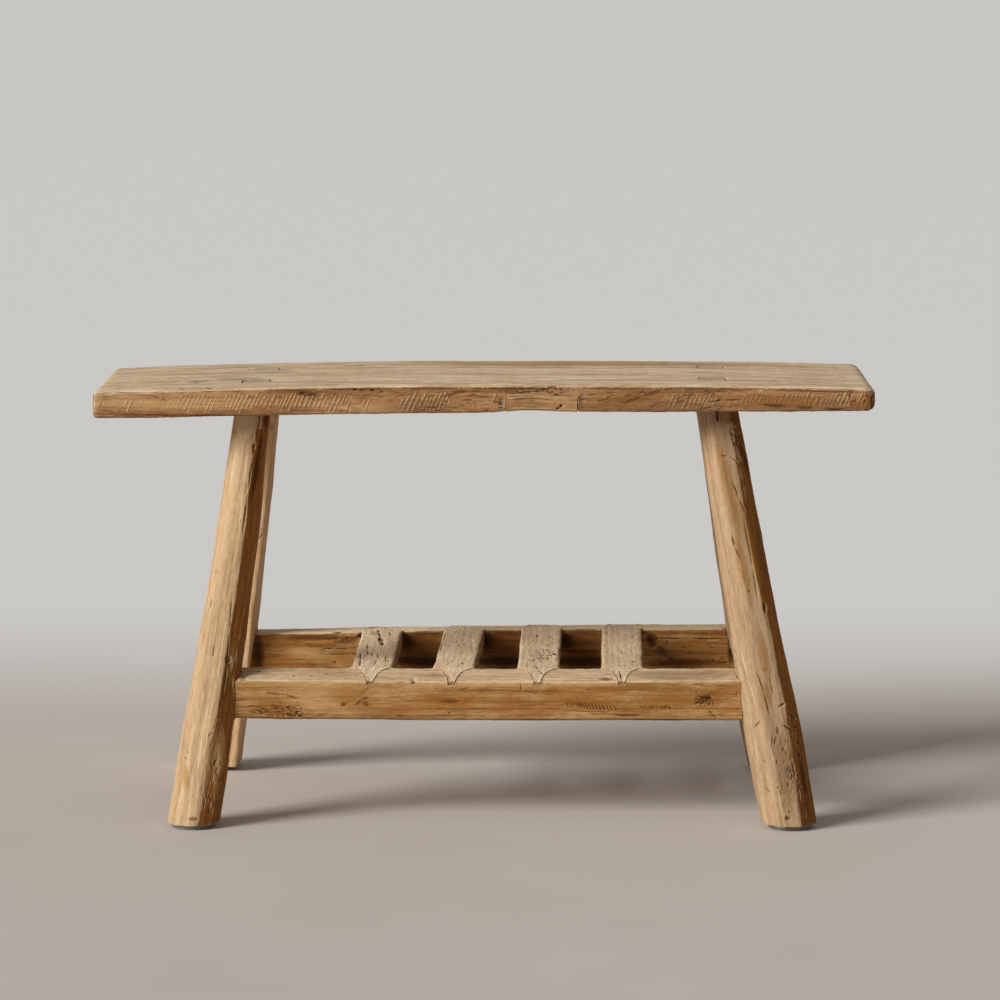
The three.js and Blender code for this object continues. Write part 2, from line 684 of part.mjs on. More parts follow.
// The leg's shoulder follows the underside of the plank, and its tenon the top.
const loweredBlock = block.translate([0, 0, -SEAM]);
legNames.forEach((name) => {
  const plan = legPlans[name];
  const tenon = seatTenon(plan, 0);
  const shoulder = tenon.intersect(block.add(block.translate([0, 0, -TENON_ROOT])));
  const leg = legStock(name, 0)
    .subtract(loweredBlock)
    .add(shoulder)
    .subtract(tenonWedge(plan, SEAM))
    .subtract(railTenon(name, SEAM))
    .subtract(railPeg(name, SEAM, OVERRUN))
    .subtract(footGlide(plan, SEAM).intersect(legStock(name, 0)));
  addPiece(`leg_${name}`, leg, woods.leg);
  addPiece(`tenon_wedge_${name}`, tenonWedge(plan, 0).intersect(block), woods.wedge);
  addPiece(`rail_peg_${name}`, railPeg(name, 0, 0), woods.peg);
  addPiece(`foot_glide_${name}`, footGlide(plan, 0), glideFinish);
});

const slatIndexes = Array.from({ length: SLAT_COUNT }, (_, i) => i);
Object.entries(railPlans).forEach(([name, plan]) => {
  const ends = [`${name}_left`, `${name}_right`];
  let rail = railStock(name);
  ends.forEach((end) => {
    rail = rail
      .subtract(legStock(end, SEAM))
      .add(railTenon(end, 0))
      .subtract(railPeg(end, SEAM, OVERRUN));
  });
  slatIndexes.forEach((index) => {
    rail = rail.subtract(slatTongue(index, plan, SEAM));
  });
  addPiece(`rail_${name}`, rail, woods.rail);
});

slatIndexes.forEach((index) => {
  const slat = Object.values(railPlans)
    .reduce((wood, plan) => wood.add(slatTongue(index, plan, 0)), slatBody(index));
  addPiece(`shelf_slat_${index + 1}`, slat, woods.slat);
});

export default bench;
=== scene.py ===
# %% [markdown]
# # A rustic teak bench
#
# The construction model is already packed: it holds every piece of the bench at its real
# size. This lesson dresses it. Each piece of timber is turned into a fine mesh in the
# same place, its surface is hewn and worn, and it gets a teak finish made only of nodes.
#
# One Blender unit is a metre. The seat runs along X, the front looks towards -Y, and the
# bench stands on the floor at Z = 0.

# %% Load the construction model
import math

import bmesh
import bpy
import numpy as np
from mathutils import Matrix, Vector, noise
from mathutils.bvhtree import BVHTree
from mathutils.kdtree import KDTree


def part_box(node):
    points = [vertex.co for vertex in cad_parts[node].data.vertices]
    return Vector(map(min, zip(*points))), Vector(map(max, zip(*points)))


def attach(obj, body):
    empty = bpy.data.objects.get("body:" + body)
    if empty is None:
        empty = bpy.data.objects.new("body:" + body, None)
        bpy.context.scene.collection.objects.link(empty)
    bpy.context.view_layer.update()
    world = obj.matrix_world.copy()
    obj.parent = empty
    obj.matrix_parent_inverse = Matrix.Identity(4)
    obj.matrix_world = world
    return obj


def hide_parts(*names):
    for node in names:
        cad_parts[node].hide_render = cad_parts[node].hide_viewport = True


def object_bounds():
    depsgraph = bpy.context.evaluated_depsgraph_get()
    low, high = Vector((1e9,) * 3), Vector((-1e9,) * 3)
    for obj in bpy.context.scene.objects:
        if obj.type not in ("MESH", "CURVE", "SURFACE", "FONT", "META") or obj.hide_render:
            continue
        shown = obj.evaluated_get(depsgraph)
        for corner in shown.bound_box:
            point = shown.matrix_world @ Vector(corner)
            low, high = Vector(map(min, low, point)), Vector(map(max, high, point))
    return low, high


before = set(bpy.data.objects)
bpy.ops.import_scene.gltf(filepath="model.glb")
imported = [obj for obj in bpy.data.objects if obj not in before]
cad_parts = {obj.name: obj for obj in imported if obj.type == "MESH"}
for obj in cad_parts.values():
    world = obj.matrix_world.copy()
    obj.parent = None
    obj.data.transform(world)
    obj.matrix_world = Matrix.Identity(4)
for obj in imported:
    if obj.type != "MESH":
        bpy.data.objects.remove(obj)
CAD_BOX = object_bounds()
MM = 0.001
print("nodes:", len(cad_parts), "box:", [round(v, 3) for v in CAD_BOX[1] - CAD_BOX[0]])

# %% [markdown]
# ## Camera
#
# The bench is seen from the front, a little from above, through a long lens. A long lens
# flattens the perspective, which is why the seat's top is such a thin band. The field of
# view is given by the focal length in pixels of a square picture 1000 pixels wide.

# %% Camera
CAMERA_PLACE = (0.06215, -5.43787, 1.05272)
CAMERA_PITCH = 0.1268866
CAMERA_YAW = 0.0082417
FOCAL_PIXELS = 4597.04
PICTURE_PIXELS = 1000
SENSOR = 36.0
CAMERA_SEES_TO = 300.0

scene = bpy.context.scene
camera = bpy.data.objects.new("camera", bpy.data.cameras.new("camera"))
camera.location = CAMERA_PLACE
camera.rotation_euler = (math.pi / 2 - CAMERA_PITCH, 0.0, CAMERA_YAW)
camera.data.sensor_width = SENSOR
camera.data.lens = FOCAL_PIXELS / PICTURE_PIXELS * SENSOR
camera.data.clip_end = CAMERA_SEES_TO
scene.collection.objects.link(camera)
scene.camera = camera
print("lens:", round(camera.data.lens, 1), "mm")

# %% [markdown]
# ## A short way to write nodes
#
# Every finish below is a tree of nodes, so one helper pays for itself at once. It makes a
# node, changes its settings, and fills its inputs: a socket is linked, anything else is
# written in as the input's own value.

# %% Helpers for node trees
def add_node(tree, kind, inputs=None, **settings):
    made = tree.nodes.new(kind)
    for name, value in settings.items():
        setattr(made, name, value)
    for name, value in (inputs or {}).items():
        if isinstance(value, bpy.types.NodeSocket):
            tree.links.new(value, made.inputs[name])
        else:
            made.inputs[name].default_value = value
    return made


def math_node(tree, operation, *values, clamp=False):
    return add_node(tree, "ShaderNodeMath", dict(enumerate(values)),
                    operation=operation, use_clamp=clamp).outputs[0]


def times(tree, a, b):
    return math_node(tree, "MULTIPLY", a, b)


def times_plus(tree, a, b, c):
    return math_node(tree, "MULTIPLY_ADD", a, b, c)


def vector_node(tree, operation, *values):
    made = add_node(tree, "ShaderNodeVectorMath", dict(enumerate(values)), operation=operation)
    return made.outputs["Value" if operation == "LENGTH" else "Vector"]


def parts_of(tree, vector):
    return add_node(tree, "ShaderNodeSeparateXYZ", {"Vector": vector}).outputs


def smooth_range(tree, value, low, high):
    """0 below low and 1 above high, with a soft change between them."""
    return add_node(tree, "ShaderNodeMapRange",
                    {"Value": value, "From Min": low, "From Max": high},
                    interpolation_type="SMOOTHSTEP").outputs[0]


def noise_node(tree, vector, scale, detail, roughness=0.55):
    return add_node(tree, "ShaderNodeTexNoise",
                    {"Vector": vector, "Scale": scale, "Detail": detail, "Roughness": roughness}
                    ).outputs[0]


print("helpers for nodes are ready")

# %% Helpers for colours and groups
def mix(tree, factor, a, b):
    """Goes from colour a to colour b as the factor goes from 0 to 1."""
    made = tree.nodes.new("ShaderNodeMix")
    made.data_type = "RGBA"
    named = [s for s in made.inputs if s.enabled]
    for socket, value in zip(named, (factor, a, b)):
        if isinstance(value, bpy.types.NodeSocket):
            tree.links.new(value, socket)
        else:
            socket.default_value = value
    return next(s for s in made.outputs if s.enabled)


def paint(code):
    """A screen colour such as "b08a5c" as the linear colour that shaders use."""
    parts = [int(code[i:i + 2], 16) / 255 for i in (0, 2, 4)]
    linear = [((p + 0.055) / 1.055) ** 2.4 if p > 0.04045 else p / 12.92 for p in parts]
    return (*linear, 1.0)


def cover(tree, color, mask, share, code):
    """Paints over a colour where the mask is 1, as strongly as the share says."""
    return mix(tree, times(tree, mask, share), color, paint(code))


def numbers(**values):
    """Number inputs for a new group. An underscore in a name stands for a space."""
    return [(name.replace("_", " "), "NodeSocketFloat", value) for name, value in values.items()]


def new_group(name, kind, inputs, outputs):
    """A node group with named sockets. Each input is (name, type, value)."""
    tree = bpy.data.node_groups.new(name, kind)
    for socket, socket_type, value in inputs:
        made = tree.interface.new_socket(socket, in_out="INPUT", socket_type=socket_type)
        if value is not None:
            made.default_value = value
    for socket, socket_type in outputs:
        tree.interface.new_socket(socket, in_out="OUTPUT", socket_type=socket_type)
    ins = tree.nodes.new("NodeGroupInput").outputs
    outs = tree.nodes.new("NodeGroupOutput").inputs
    return tree, ins, outs


print("a middle grey in linear light:", round(paint("808080")[0], 3))

# %% [markdown]
# ## Floor and light
#
# A pale floor without a horizon keeps attention on the bench. It is a warm grey near the
# bench and grows paler behind it. The main light is a wide soft sun, low on the left and
# a little in front, like a large window: it lights the left facets of the legs and leaves
# their right sides dark. An even surrounding light fills the rest.

# %% Floor
# how far the floor reaches and where behind the bench it grows paler, in metres
FLOOR_REACH = 150.0
FLOOR_PALE_FROM = 0.35
FLOOR_PALE_TO = 1.6
FLOOR_NEAR_COLORS = ("c2b8ae", "d0c7be")
FLOOR_FAR_COLOR = "e6e5e3"
FLOOR_MOTTLE_SCALE = 2.2
FLOOR_ROUGHNESS = 0.85
CORNER_WAYS = ((-1, -1), (1, -1), (1, 1), (-1, 1))

floor_mesh = bpy.data.meshes.new("floor")
floor_mesh.from_pydata([(x * FLOOR_REACH, y * FLOOR_REACH, 0.0) for x, y in CORNER_WAYS],
                       [], [(0, 1, 2, 3)])
floor = bpy.data.objects.new("floor", floor_mesh)
scene.collection.objects.link(floor)

floor_finish = bpy.data.materials.new("pale_floor")
floor_finish.use_nodes = True
floor_tree = floor_finish.node_tree
floor_shader = floor_tree.nodes["Principled BSDF"]
floor_place = add_node(floor_tree, "ShaderNodeTexCoord").outputs["Object"]
floor_depth = parts_of(floor_tree, floor_place)["Y"]
floor_behind = smooth_range(floor_tree, floor_depth, FLOOR_PALE_FROM, FLOOR_PALE_TO)
floor_mottle = noise_node(floor_tree, floor_place, FLOOR_MOTTLE_SCALE, 6.0, 0.6)
floor_near = mix(floor_tree, floor_mottle, *map(paint, FLOOR_NEAR_COLORS))
floor_tone = mix(floor_tree, floor_behind, floor_near, paint(FLOOR_FAR_COLOR))
floor_tree.links.new(floor_tone, floor_shader.inputs["Base Color"])
floor_shader.inputs["Roughness"].default_value = FLOOR_ROUGHNESS
floor_mesh.materials.append(floor_finish)
print("floor:", 2 * FLOOR_REACH, "m across")

# %% Lights
WINDOW_AZIMUTH = math.radians(57)
WINDOW_RISE = math.radians(26)
WINDOW_SPREAD = math.radians(26)
WINDOW_STRENGTH = 3.5
SURROUND = 0.3
SURROUND_COLOR = "f4f2ef"

window_light = bpy.data.objects.new("window_light", bpy.data.lights.new("window_light", "SUN"))
window_light.data.energy = WINDOW_STRENGTH
window_light.data.angle = WINDOW_SPREAD
window_way = Vector((-math.sin(WINDOW_AZIMUTH) * math.cos(WINDOW_RISE),
                     -math.cos(WINDOW_AZIMUTH) * math.cos(WINDOW_RISE),
                     math.sin(WINDOW_RISE)))
window_light.rotation_euler = window_way.to_track_quat("Z", "Y").to_euler()
scene.collection.objects.link(window_light)

world = bpy.data.worlds.new("surround")
world.use_nodes = True
background = world.node_tree.nodes["Background"]
background.inputs["Color"].default_value = paint(SURROUND_COLOR)
background.inputs["Strength"].default_value = SURROUND
scene.world = world
scene.view_settings.view_transform = "Standard"

# %% [markdown]
# ## Points and attributes
#
# Points are read and written as whole arrays, which keeps work on fine meshes quick. What
# a finish has to know about a point is stored on it as a named attribute. Sculpting by
# hand would give such surfaces too, but it could not be repeated or corrected by a number.

# %% Points and attributes
# how far a point goes towards the middle of its neighbours
ROUNDING = 0.5


def mesh_points(mesh):
    co = np.empty(len(mesh.vertices) * 3)
    mesh.vertices.foreach_get("co", co)
    return co.reshape(-1, 3)


def mesh_normals(mesh):
    normals = np.empty(len(mesh.vertices) * 3, np.float32)
    mesh.vertex_normals.foreach_get("vector", normals)
    return normals.reshape(-1, 3).astype(float)


def set_points(mesh, co):
    mesh.vertices.foreach_set("co", co.ravel())
    mesh.update()


def keep_in_box(co):
    """No point may leave the box of the construction model."""
    return np.clip(co, np.array(CAD_BOX[0]), np.array(CAD_BOX[1]))


def add_attribute(mesh, name, values, kind="FLOAT"):
    made = mesh.attributes.new(name, kind, "POINT")
    made.data.foreach_set("vector" if kind == "FLOAT_VECTOR" else "value",
                          np.ascontiguousarray(values, np.float32).ravel())


def settle(piece):
    """Turns the evaluated piece into its plain mesh and takes its modifiers off."""
    graph = bpy.context.evaluated_depsgraph_get()
    old = piece.data
    piece.data = bpy.data.meshes.new_from_object(
        piece.evaluated_get(graph), preserve_all_data_layers=True, depsgraph=graph)
    piece.modifiers.clear()
    piece.data.name = piece.name
    bpy.data.meshes.remove(old)


def rounded(mesh):
    """Where the points go when each is drawn towards the middle of its neighbours."""
    edges = np.empty(len(mesh.edges) * 2, np.int32)
    mesh.edges.foreach_get("vertices", edges)
    a, b = edges.reshape(-1, 2).T
    co = mesh_points(mesh)
    count = np.bincount(a, minlength=len(co)) + np.bincount(b, minlength=len(co))
    total = np.stack([np.bincount(a, co[b, k], len(co)) + np.bincount(b, co[a, k], len(co))
                      for k in range(3)], axis=1)
    return co + ROUNDING * (total / count[:, None] - co)


print("helpers for meshes are ready")

# %% [markdown]
# ## Blemishes, painted shade and painted light
#
# Knots, checks, gouges and stains are what make this bench that bench. Each is one row:
# where it is, how long and how wide, how far it is turned, which tone it has and how deep
# it goes. A few rows are painted shade and painted light, laid where shade and light fall
# on the bench. The same row is used three times. The mesh gets finer faces round it, its
# points are pushed in under it, and they store how far inside the blemish they are, in one
# attribute for each tone, for the finish to read.
#
# "front" rows lie on an upright face, are placed by X and Z and turned about Y. "top" rows
# lie on a level face, are placed by X and Y and turned about Z. A row that starts with a
# list of points is a crack or a streak that runs through them. All sizes in these tables
# are millimetres. Blemishes could also be sculpted and painted by hand, but a row can be
# moved, copied or made deeper by changing one number.

# %% How a row of blemishes is read
BLEMISHES_AND_PAINTED_LIGHT = {}
FACING = {"front": (0, -1, 0), "top": (0, 0, 1)}
# points further than this in front of a row's face or behind it, in mm, count as far off
BLEMISH_REACH = 14
FAR = 9.0
# how far a stretch of a path reaches from its middle, in lengths: more than half overlaps
STRETCH_REACH = 0.58


def on_face(facing, level, rows):
    """Places rows on a face. The level is a depth in mm, or gives it for each height."""
    made = []
    for row in rows:
        if isinstance(row[0], list):
            path, half_wide, tone, deep = row
            for (u0, v0), (u1, v1) in zip(path, path[1:]):
                half_long = math.hypot(u1 - u0, v1 - v0) * STRETCH_REACH
                turn = math.degrees(math.atan2(v1 - v0, u1 - u0))
                middle = ((u0 + u1) / 2, (v0 + v1) / 2)
                made.append((middle, (half_long, half_wide), turn, tone, deep))
        else:
            made.append(row)
    placed = []
    for (u, v), half_size, turn, tone, deep in made:
        third = level(v) if callable(level) else level
        place = (u, third, v) if facing == "front" else (u, v, third)
        placed.append((facing, place, half_size, turn, tone, deep))
    return placed


def reach_of(row, co, margin=0.0):
    """How far points are from a blemish's middle: 1 at its rim, more outside it."""
    facing, place, (half_long, half_wide), turn = row[:4]
    u, v, away = ((co / MM - place).T)[[0, 1, 2] if facing == "top" else [0, 2, 1]]
    c, s = math.cos(math.radians(turn)), math.sin(math.radians(turn))
    along, across = u * c + v * s, v * c - u * s
    reach = np.hypot(along / (half_long + margin), across / (half_wide + margin))
    return np.where(np.abs(away) < BLEMISH_REACH, reach, FAR)


print("upright and level faces:", FACING)

# %% Nicks at random
# in mm, in degrees, and as a share of the deepest nick
NICK_HALF_WIDTH = (0.6, 1.1)
NICK_SWING = 12
NICK_DEPTH_SHARE = (0.4, 1)


def nicks(count, seed, u, v, half_long, turn, tone, deep, lean=0.0):
    """Many short cuts at random inside a patch. Lean is how far u moves as v grows."""
    chance = np.random.default_rng(seed)
    middle = (v[0] + v[1]) / 2
    made = []
    for _ in range(count):
        height = chance.uniform(*v)
        made.append(((chance.uniform(*u) + lean * (height - middle), height),
                     (chance.uniform(*half_long), chance.uniform(*NICK_HALF_WIDTH)),
                     turn + chance.normal(0, NICK_SWING), tone,
                     deep * chance.uniform(*NICK_DEPTH_SHARE)))
    return made


print("nicks are turned by about", NICK_SWING, "degrees either way")

# %% Gouges, stains and painted light
# half the width of a thin blemish, and how far round it the faces are split, in mm
THIN = 3.0
THIN_MARGIN = 1.5
# how far out a gouge's ragged rim may reach, where 1 is the rim in its table
GOUGE_RIM = 1.3
RAGGED_SIZE = 5 * MM
RAGGED_SHARE = 0.35
OUTSIDE = -0.6
# a stain fades out between these two cosines of a face's angle to the blemish's own
FACES_IT = (0.1, 0.3)


def near_thin_blemish(rows, co, split):
    """Which points lie at a thin blemish. The thinnest ones go on to the later splits."""
    near = np.zeros(len(co), bool)
    for row in rows:
        if row[2][1] < THIN / 2 ** split:
            near |= reach_of(row, co, THIN_MARGIN) < 1
    return near


def gouge(mesh, rows):
    """Pushes the mesh in under each blemish that has a depth, and keeps it in the box."""
    co = mesh_points(mesh)
    normals = mesh_normals(mesh)
    for row in (row for row in rows if row[-1]):
        reach = reach_of(row, co)
        for i in np.flatnonzero(reach < GOUGE_RIM):
            ragged = noise.noise(Vector(co[i]) / RAGGED_SIZE) * RAGGED_SHARE
            share = max(0.0, 1 - reach[i] - ragged)
            co[i] -= normals[i] * row[-1] * MM * min(1.0, 2 * share)
    set_points(mesh, keep_in_box(co))


def stain_and_painted_light(mesh, rows):
    """Stores one attribute for each tone, of stains and painted light: 1 in a row's middle and 0 on
    its rim.
    """
    co = mesh_points(mesh)
    normals = mesh_normals(mesh)
    for tone in {row[-2] for row in rows}:
        share = np.full(len(co), OUTSIDE)
        for row in (row for row in rows if row[-2] == tone):
            faces_it = np.interp(normals @ np.array(FACING[row[0]]), FACES_IT, (0, 1))
            inside = np.maximum(1 - reach_of(row, co), OUTSIDE)
            share = np.maximum(share, OUTSIDE + (inside - OUTSIDE) * faces_it)
        add_attribute(mesh, "tone_share_" + tone, share)


print("blemishes narrower than", 2 * THIN, "mm get finer faces")

# %% [markdown]
# ## From a faceted solid to a fine piece of timber
#
# The construction model has few, large faces. A voxel remesh turns a copy of a piece into
# small even faces, and each new point is then laid back on the solid it came from, so
# facets stay flat and joints keep their size. Splitting the solid's own faces would be
# simpler, but they are long and narrow, and so would be all the faces made from them.
#
# Each piece also stores facts about its points. "grain" is where a point lies in its own
# timber: how far along the grain, and how far across it in two directions. "free" is 0 at
# a joint and 1 on open surfaces, so that nothing done to the surface spoils the fit.
# "arris" is how sharp an outside edge is there, and edges are where wear begins.

# %% Solids, their surfaces and their edges
WELD = 0.01 * MM
# edges that turn by more than this are arrises, and points are laid along them
SHARP = math.radians(20)
ARRIS_STEP = 0.2 * MM


def surfaces(nodes):
    """The surfaces of some nodes, for finding the point of them nearest to another."""
    verts, faces = [], []
    for node in nodes:
        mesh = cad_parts[node].data
        start = len(verts)
        verts.extend(v.co.copy() for v in mesh.vertices)
        faces.extend([start + i for i in p.vertices] for p in mesh.polygons)
    return BVHTree.FromPolygons(verts, faces)


def closed_copy(node):
    """A node's loose triangles, joined into one closed mesh."""
    bm = bmesh.new()
    bm.from_mesh(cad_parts[node].data)
    bmesh.ops.remove_doubles(bm, verts=bm.verts, dist=WELD)
    return bm


def arris_points(bm):
    """Points along the outside edges of a solid, each with how sharp the edge is there."""
    found = []
    for edge in bm.edges:
        angle = edge.calc_face_angle_signed(0.0)
        if angle > SHARP:
            a, b = (v.co for v in edge.verts)
            steps = max(1, int((b - a).length / ARRIS_STEP))
            found.extend((a.lerp(b, i / steps), min(1.0, angle)) for i in range(steps + 1))
    tree = KDTree(len(found))
    for i, (point, _) in enumerate(found):
        tree.insert(point, i)
    tree.balance()
    return tree, np.array([sharpness for _, sharpness in found])


print("an edge is an arris from", round(math.degrees(SHARP)), "degrees")

# %% Finer faces where they are needed
SPLITS = 3
JOINT_SPLITS = 2
# how near another piece a joint begins, and the face size that is fine enough for a crack
JOINT_FINE = 4.5 * MM
FINE_ENOUGH = 0.95 * MM


def refine(mesh, keep):
    """Splits the edges in two between kept points, for finer faces there."""
    bm = bmesh.new()
    bm.from_mesh(mesh)
    edges = [e for e in bm.edges if keep[e.verts[0].index] and keep[e.verts[1].index]]
    bmesh.ops.subdivide_edges(bm, edges=edges, cuts=1, use_grid_fill=True)
    bm.to_mesh(mesh)
    bm.free()


def remeshed(node, bm, face_size):
    """A new piece: the solid in small even faces."""
    mesh = bpy.data.meshes.new("worn_" + node)
    bm.to_mesh(mesh)
    bm.free()
    piece = bpy.data.objects.new("worn_" + node, mesh)
    scene.collection.objects.link(piece)
    remesh = piece.modifiers.new("fine", "REMESH")
    remesh.mode = "VOXEL"
    remesh.voxel_size = face_size
    remesh.use_smooth_shade = True
    settle(piece)
    return piece


def split_faces(mesh, face_size, others, finer, rows):
    """Splits faces at thin blemishes, and where finer says so of a point and its joint."""
    for split in range(SPLITS):
        co = mesh_points(mesh)
        keep = near_thin_blemish(rows, co, split) & (face_size / 2 ** split > FINE_ENOUGH)
        if finer and split < JOINT_SPLITS:
            keep |= [finer(Vector(point), others.find_nearest(point, JOINT_FINE)[0] is not None)
                     for point in co]
        refine(mesh, keep)


print("faces are split", SPLITS, "times at most")

# %% Fine timber
# the surface is wholly free beyond the reach and wholly held within the core
JOINT_REACH = 3.2 * MM
JOINT_CORE = 0.9 * MM
# held surfaces swell into the gap, and points this near a joint's edge, in faces, go to it
JOINT_SWELL = 0.125 * MM
JOINT_SNAP = 0.55
ARRIS_WIDTH = 3.0 * MM
X_WAY = Vector((1, 0, 0))
Y_WAY = Vector((0, 1, 0))
NEAR_Y = 0.8


def lay_on_solid(mesh, solid, others, arrises, snap):
    """Lays the points on the solid, and those beside a joint's edge on that edge."""
    co = np.array([solid.find_nearest(point)[0] for point in mesh_points(mesh)])
    nearest = [arrises.find(point) for point in co]
    for i, (edge, _, away) in enumerate(nearest):
        if away < snap and others.find_nearest(edge, JOINT_CORE)[0] is not None:
            co[i] = edge
    set_points(mesh, co)
    return co, nearest


def freedom(co, others):
    """0 for points at another piece's surface and 1 away from it, with a soft change."""
    near = np.array([others.find_nearest(point, JOINT_REACH)[3] or JOINT_REACH for point in co])
    free = np.clip((near - JOINT_CORE) / (JOINT_REACH - JOINT_CORE), 0, 1)
    return free * free * (3 - 2 * free)


def grain_axes(way):
    """The way of the grain and two ways across it."""
    way = Vector(way).normalized()
    side = way.cross(Y_WAY if abs(way.y) < NEAR_Y else X_WAY).normalized()
    return np.array([way, side, way.cross(side)])


def fine_timber(node, face_size, way, finer=None, rows=()):
    """A fine copy of a solid that knows its grain, its joints and its arrises."""
    bm = closed_copy(node)
    arrises, sharpness = arris_points(bm)
    piece = remeshed(node, bm, face_size)
    mesh = piece.data
    others = surfaces([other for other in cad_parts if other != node])
    split_faces(mesh, face_size, others, finer, rows)
    snap = JOINT_SNAP * face_size / (2 ** JOINT_SPLITS if finer else 1)
    co, nearest = lay_on_solid(mesh, surfaces([node]), others, arrises, snap)
    free = freedom(co, others)
    arris = np.array([sharpness[i] * max(0.0, 1 - away / ARRIS_WIDTH) for _, i, away in nearest])
    moved = co + (rounded(mesh) - co) * free[:, None]
    set_points(mesh, moved + mesh_normals(mesh) * (JOINT_SWELL * (1 - free))[:, None])
    middle = np.array(sum(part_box(node), Vector()) / 2)
    add_attribute(mesh, "grain", (co - middle) @ grain_axes(way).T, "FLOAT_VECTOR")
    add_attribute(mesh, "free", free)
    add_attribute(mesh, "arris", arris)
    return piece


print("joints are left alone within", JOINT_CORE / MM, "mm")

# %% [markdown]
# ## Hewing by rule
#
# Every surface was shaped with an adze and then weathered. One Geometry Nodes tree does
# that for all the timber. Scoops are the cells of a Voronoi pattern stretched along the
# grain: deepest in the middle, with a crisp ridge where two cuts meet. The ridges stand a
# little proud of the solid and the scoops lie under it, so the size stays true. A fine
# noise sinks the soft wood between the fibres, and another one takes an uneven bite from
# the edges. Scoops could be sculpted one by one. A rule makes them at once on a piece of
# any size, and every input of the tree can still be changed.

# %% Patterns along the grain
def named(tree, name, kind="FLOAT"):
    return add_node(tree, "GeometryNodeInputNamedAttribute", {"Name": name},
                    data_type=kind).outputs["Attribute"]


def along_grain(tree, vector, length, width, seed):
    """The grain's coordinates in units of a length along it and a width across it."""
    along = math_node(tree, "DIVIDE", 1.0, length)
    across = math_node(tree, "DIVIDE", 1.0, width)
    stretch = add_node(tree, "ShaderNodeCombineXYZ",
                       {"X": along, "Y": across, "Z": across}).outputs[0]
    shift = add_node(tree, "ShaderNodeCombineXYZ", {"X": seed, "Y": seed, "Z": seed}).outputs[0]
    return vector_node(tree, "ADD", vector_node(tree, "MULTIPLY", vector, stretch), shift)


def grain_noise(tree, grain, seed, size, detail, roughness=0.55):
    """A noise drawn out along the grain. Its size is a length and a width."""
    return noise_node(tree, along_grain(tree, grain, *size, seed), 1.0, detail, roughness)


print("patterns can follow the grain")

# %% The hewing tree
# the larger the rim number, the smaller the scoop in its cell
SCOOP_RIM = 1.25
SCOOP_UNEVEN = 0.85
# between these two values of their noises the soft fibre sinks and the edge is bitten
FIBRE_SUNK = (0.3, 0.75)
EDGE_BITTEN = (0.4, 0.75)

hewing, ins, outs = new_group("hewing", "GeometryNodeTree", [
    ("Geometry", "NodeSocketGeometry", None),
    *numbers(Proud=0.0003, Scoop_Depth=0.0008, Scoop_Length=0.05, Scoop_Width=0.02,
             Fibre_Depth=0.0003, Fibre_Length=0.02, Fibre_Width=0.003,
             Edge_Bite=0.001, Edge_Bite_Length=0.012, Seed=0.0),
    ("Finish", "NodeSocketMaterial", None),
], [("Geometry", "NodeSocketGeometry")])

grain = named(hewing, "grain", "FLOAT_VECTOR")
cells = add_node(hewing, "ShaderNodeTexVoronoi", {
    "Vector": along_grain(hewing, grain, ins["Scoop Length"], ins["Scoop Width"], ins["Seed"]),
    "Scale": 1.0, "Randomness": SCOOP_UNEVEN})
reach = times(hewing, cells.outputs["Distance"], SCOOP_RIM)
scoop = math_node(hewing, "SUBTRACT", 1.0, times(hewing, reach, reach), clamp=True)
fibre = grain_noise(hewing, grain, ins["Seed"], (ins["Fibre Length"], ins["Fibre Width"]), 2.0)
fibre = smooth_range(hewing, fibre, *FIBRE_SUNK)
bite = grain_noise(hewing, grain, ins["Seed"], (ins["Edge Bite Length"],) * 2, 3.0)
bite = times(hewing, named(hewing, "arris"), smooth_range(hewing, bite, *EDGE_BITTEN))
depth = times(hewing, scoop, ins["Scoop Depth"])
depth = times_plus(hewing, fibre, ins["Fibre Depth"], depth)
depth = times_plus(hewing, bite, ins["Edge Bite"], depth)
lift = times(hewing, math_node(hewing, "SUBTRACT", ins["Proud"], depth), named(hewing, "free"))
carving = add_node(hewing, "ShaderNodeVectorMath", {
    0: add_node(hewing, "GeometryNodeInputNormal").outputs[0], "Scale": lift}, operation="SCALE")
carved = add_node(hewing, "GeometryNodeSetPosition",
                  {"Geometry": ins["Geometry"], "Offset": carving.outputs["Vector"]})
realized = add_node(hewing, "GeometryNodeRealizeInstances", {"Geometry": carved.outputs[0]})
finished = add_node(hewing, "GeometryNodeSetMaterial",
                    {"Geometry": realized.outputs[0], "Material": ins["Finish"]})
hewing.links.new(finished.outputs[0], outs["Geometry"])


def run_tree(piece, tree, **values):
    """Runs a Geometry Nodes tree on a piece and keeps the result as its mesh."""
    modifier = piece.modifiers.new(tree.name, "NODES")
    modifier.node_group = tree
    sockets = {s.name: s.identifier for s in tree.interface.items_tree
               if s.in_out == "INPUT"}
    for name, value in values.items():
        modifier[sockets[name.replace("_", " ")]] = value
    settle(piece)


print("hewing inputs:", [s.name for s in hewing.interface.items_tree if s.in_out == "INPUT"])

# %% [markdown]
# ## The finish
#
# The teak's figure is one node group, used by every piece with its own values. It holds
# the growth rings, as shells round a pith line, streaks of colour, broad patches, short
# flecks and the fine dark pores. Rings are cut by each face as they would be in a sawn
# plank, so a top, a side and an end all look different, and right. A picture of wood
# wrapped round the piece would stretch at the ends and show its seams.

# %% Teak figure
# lengths along the grain and widths across it, in metres
WOBBLE_SIZE = (0.3, 0.04)
FLECK_SIZE = (0.012, 0.0024)
PORE_SIZE = (0.014, 0.0011)
PATCH_SIZE = (0.07, 0.02)
BAND_SIZE = (0.34, 0.013)
# the noise's values between which a pore opens
PORE_OPEN = (0.56, 0.72)
RING_CRISPNESS = 2.2

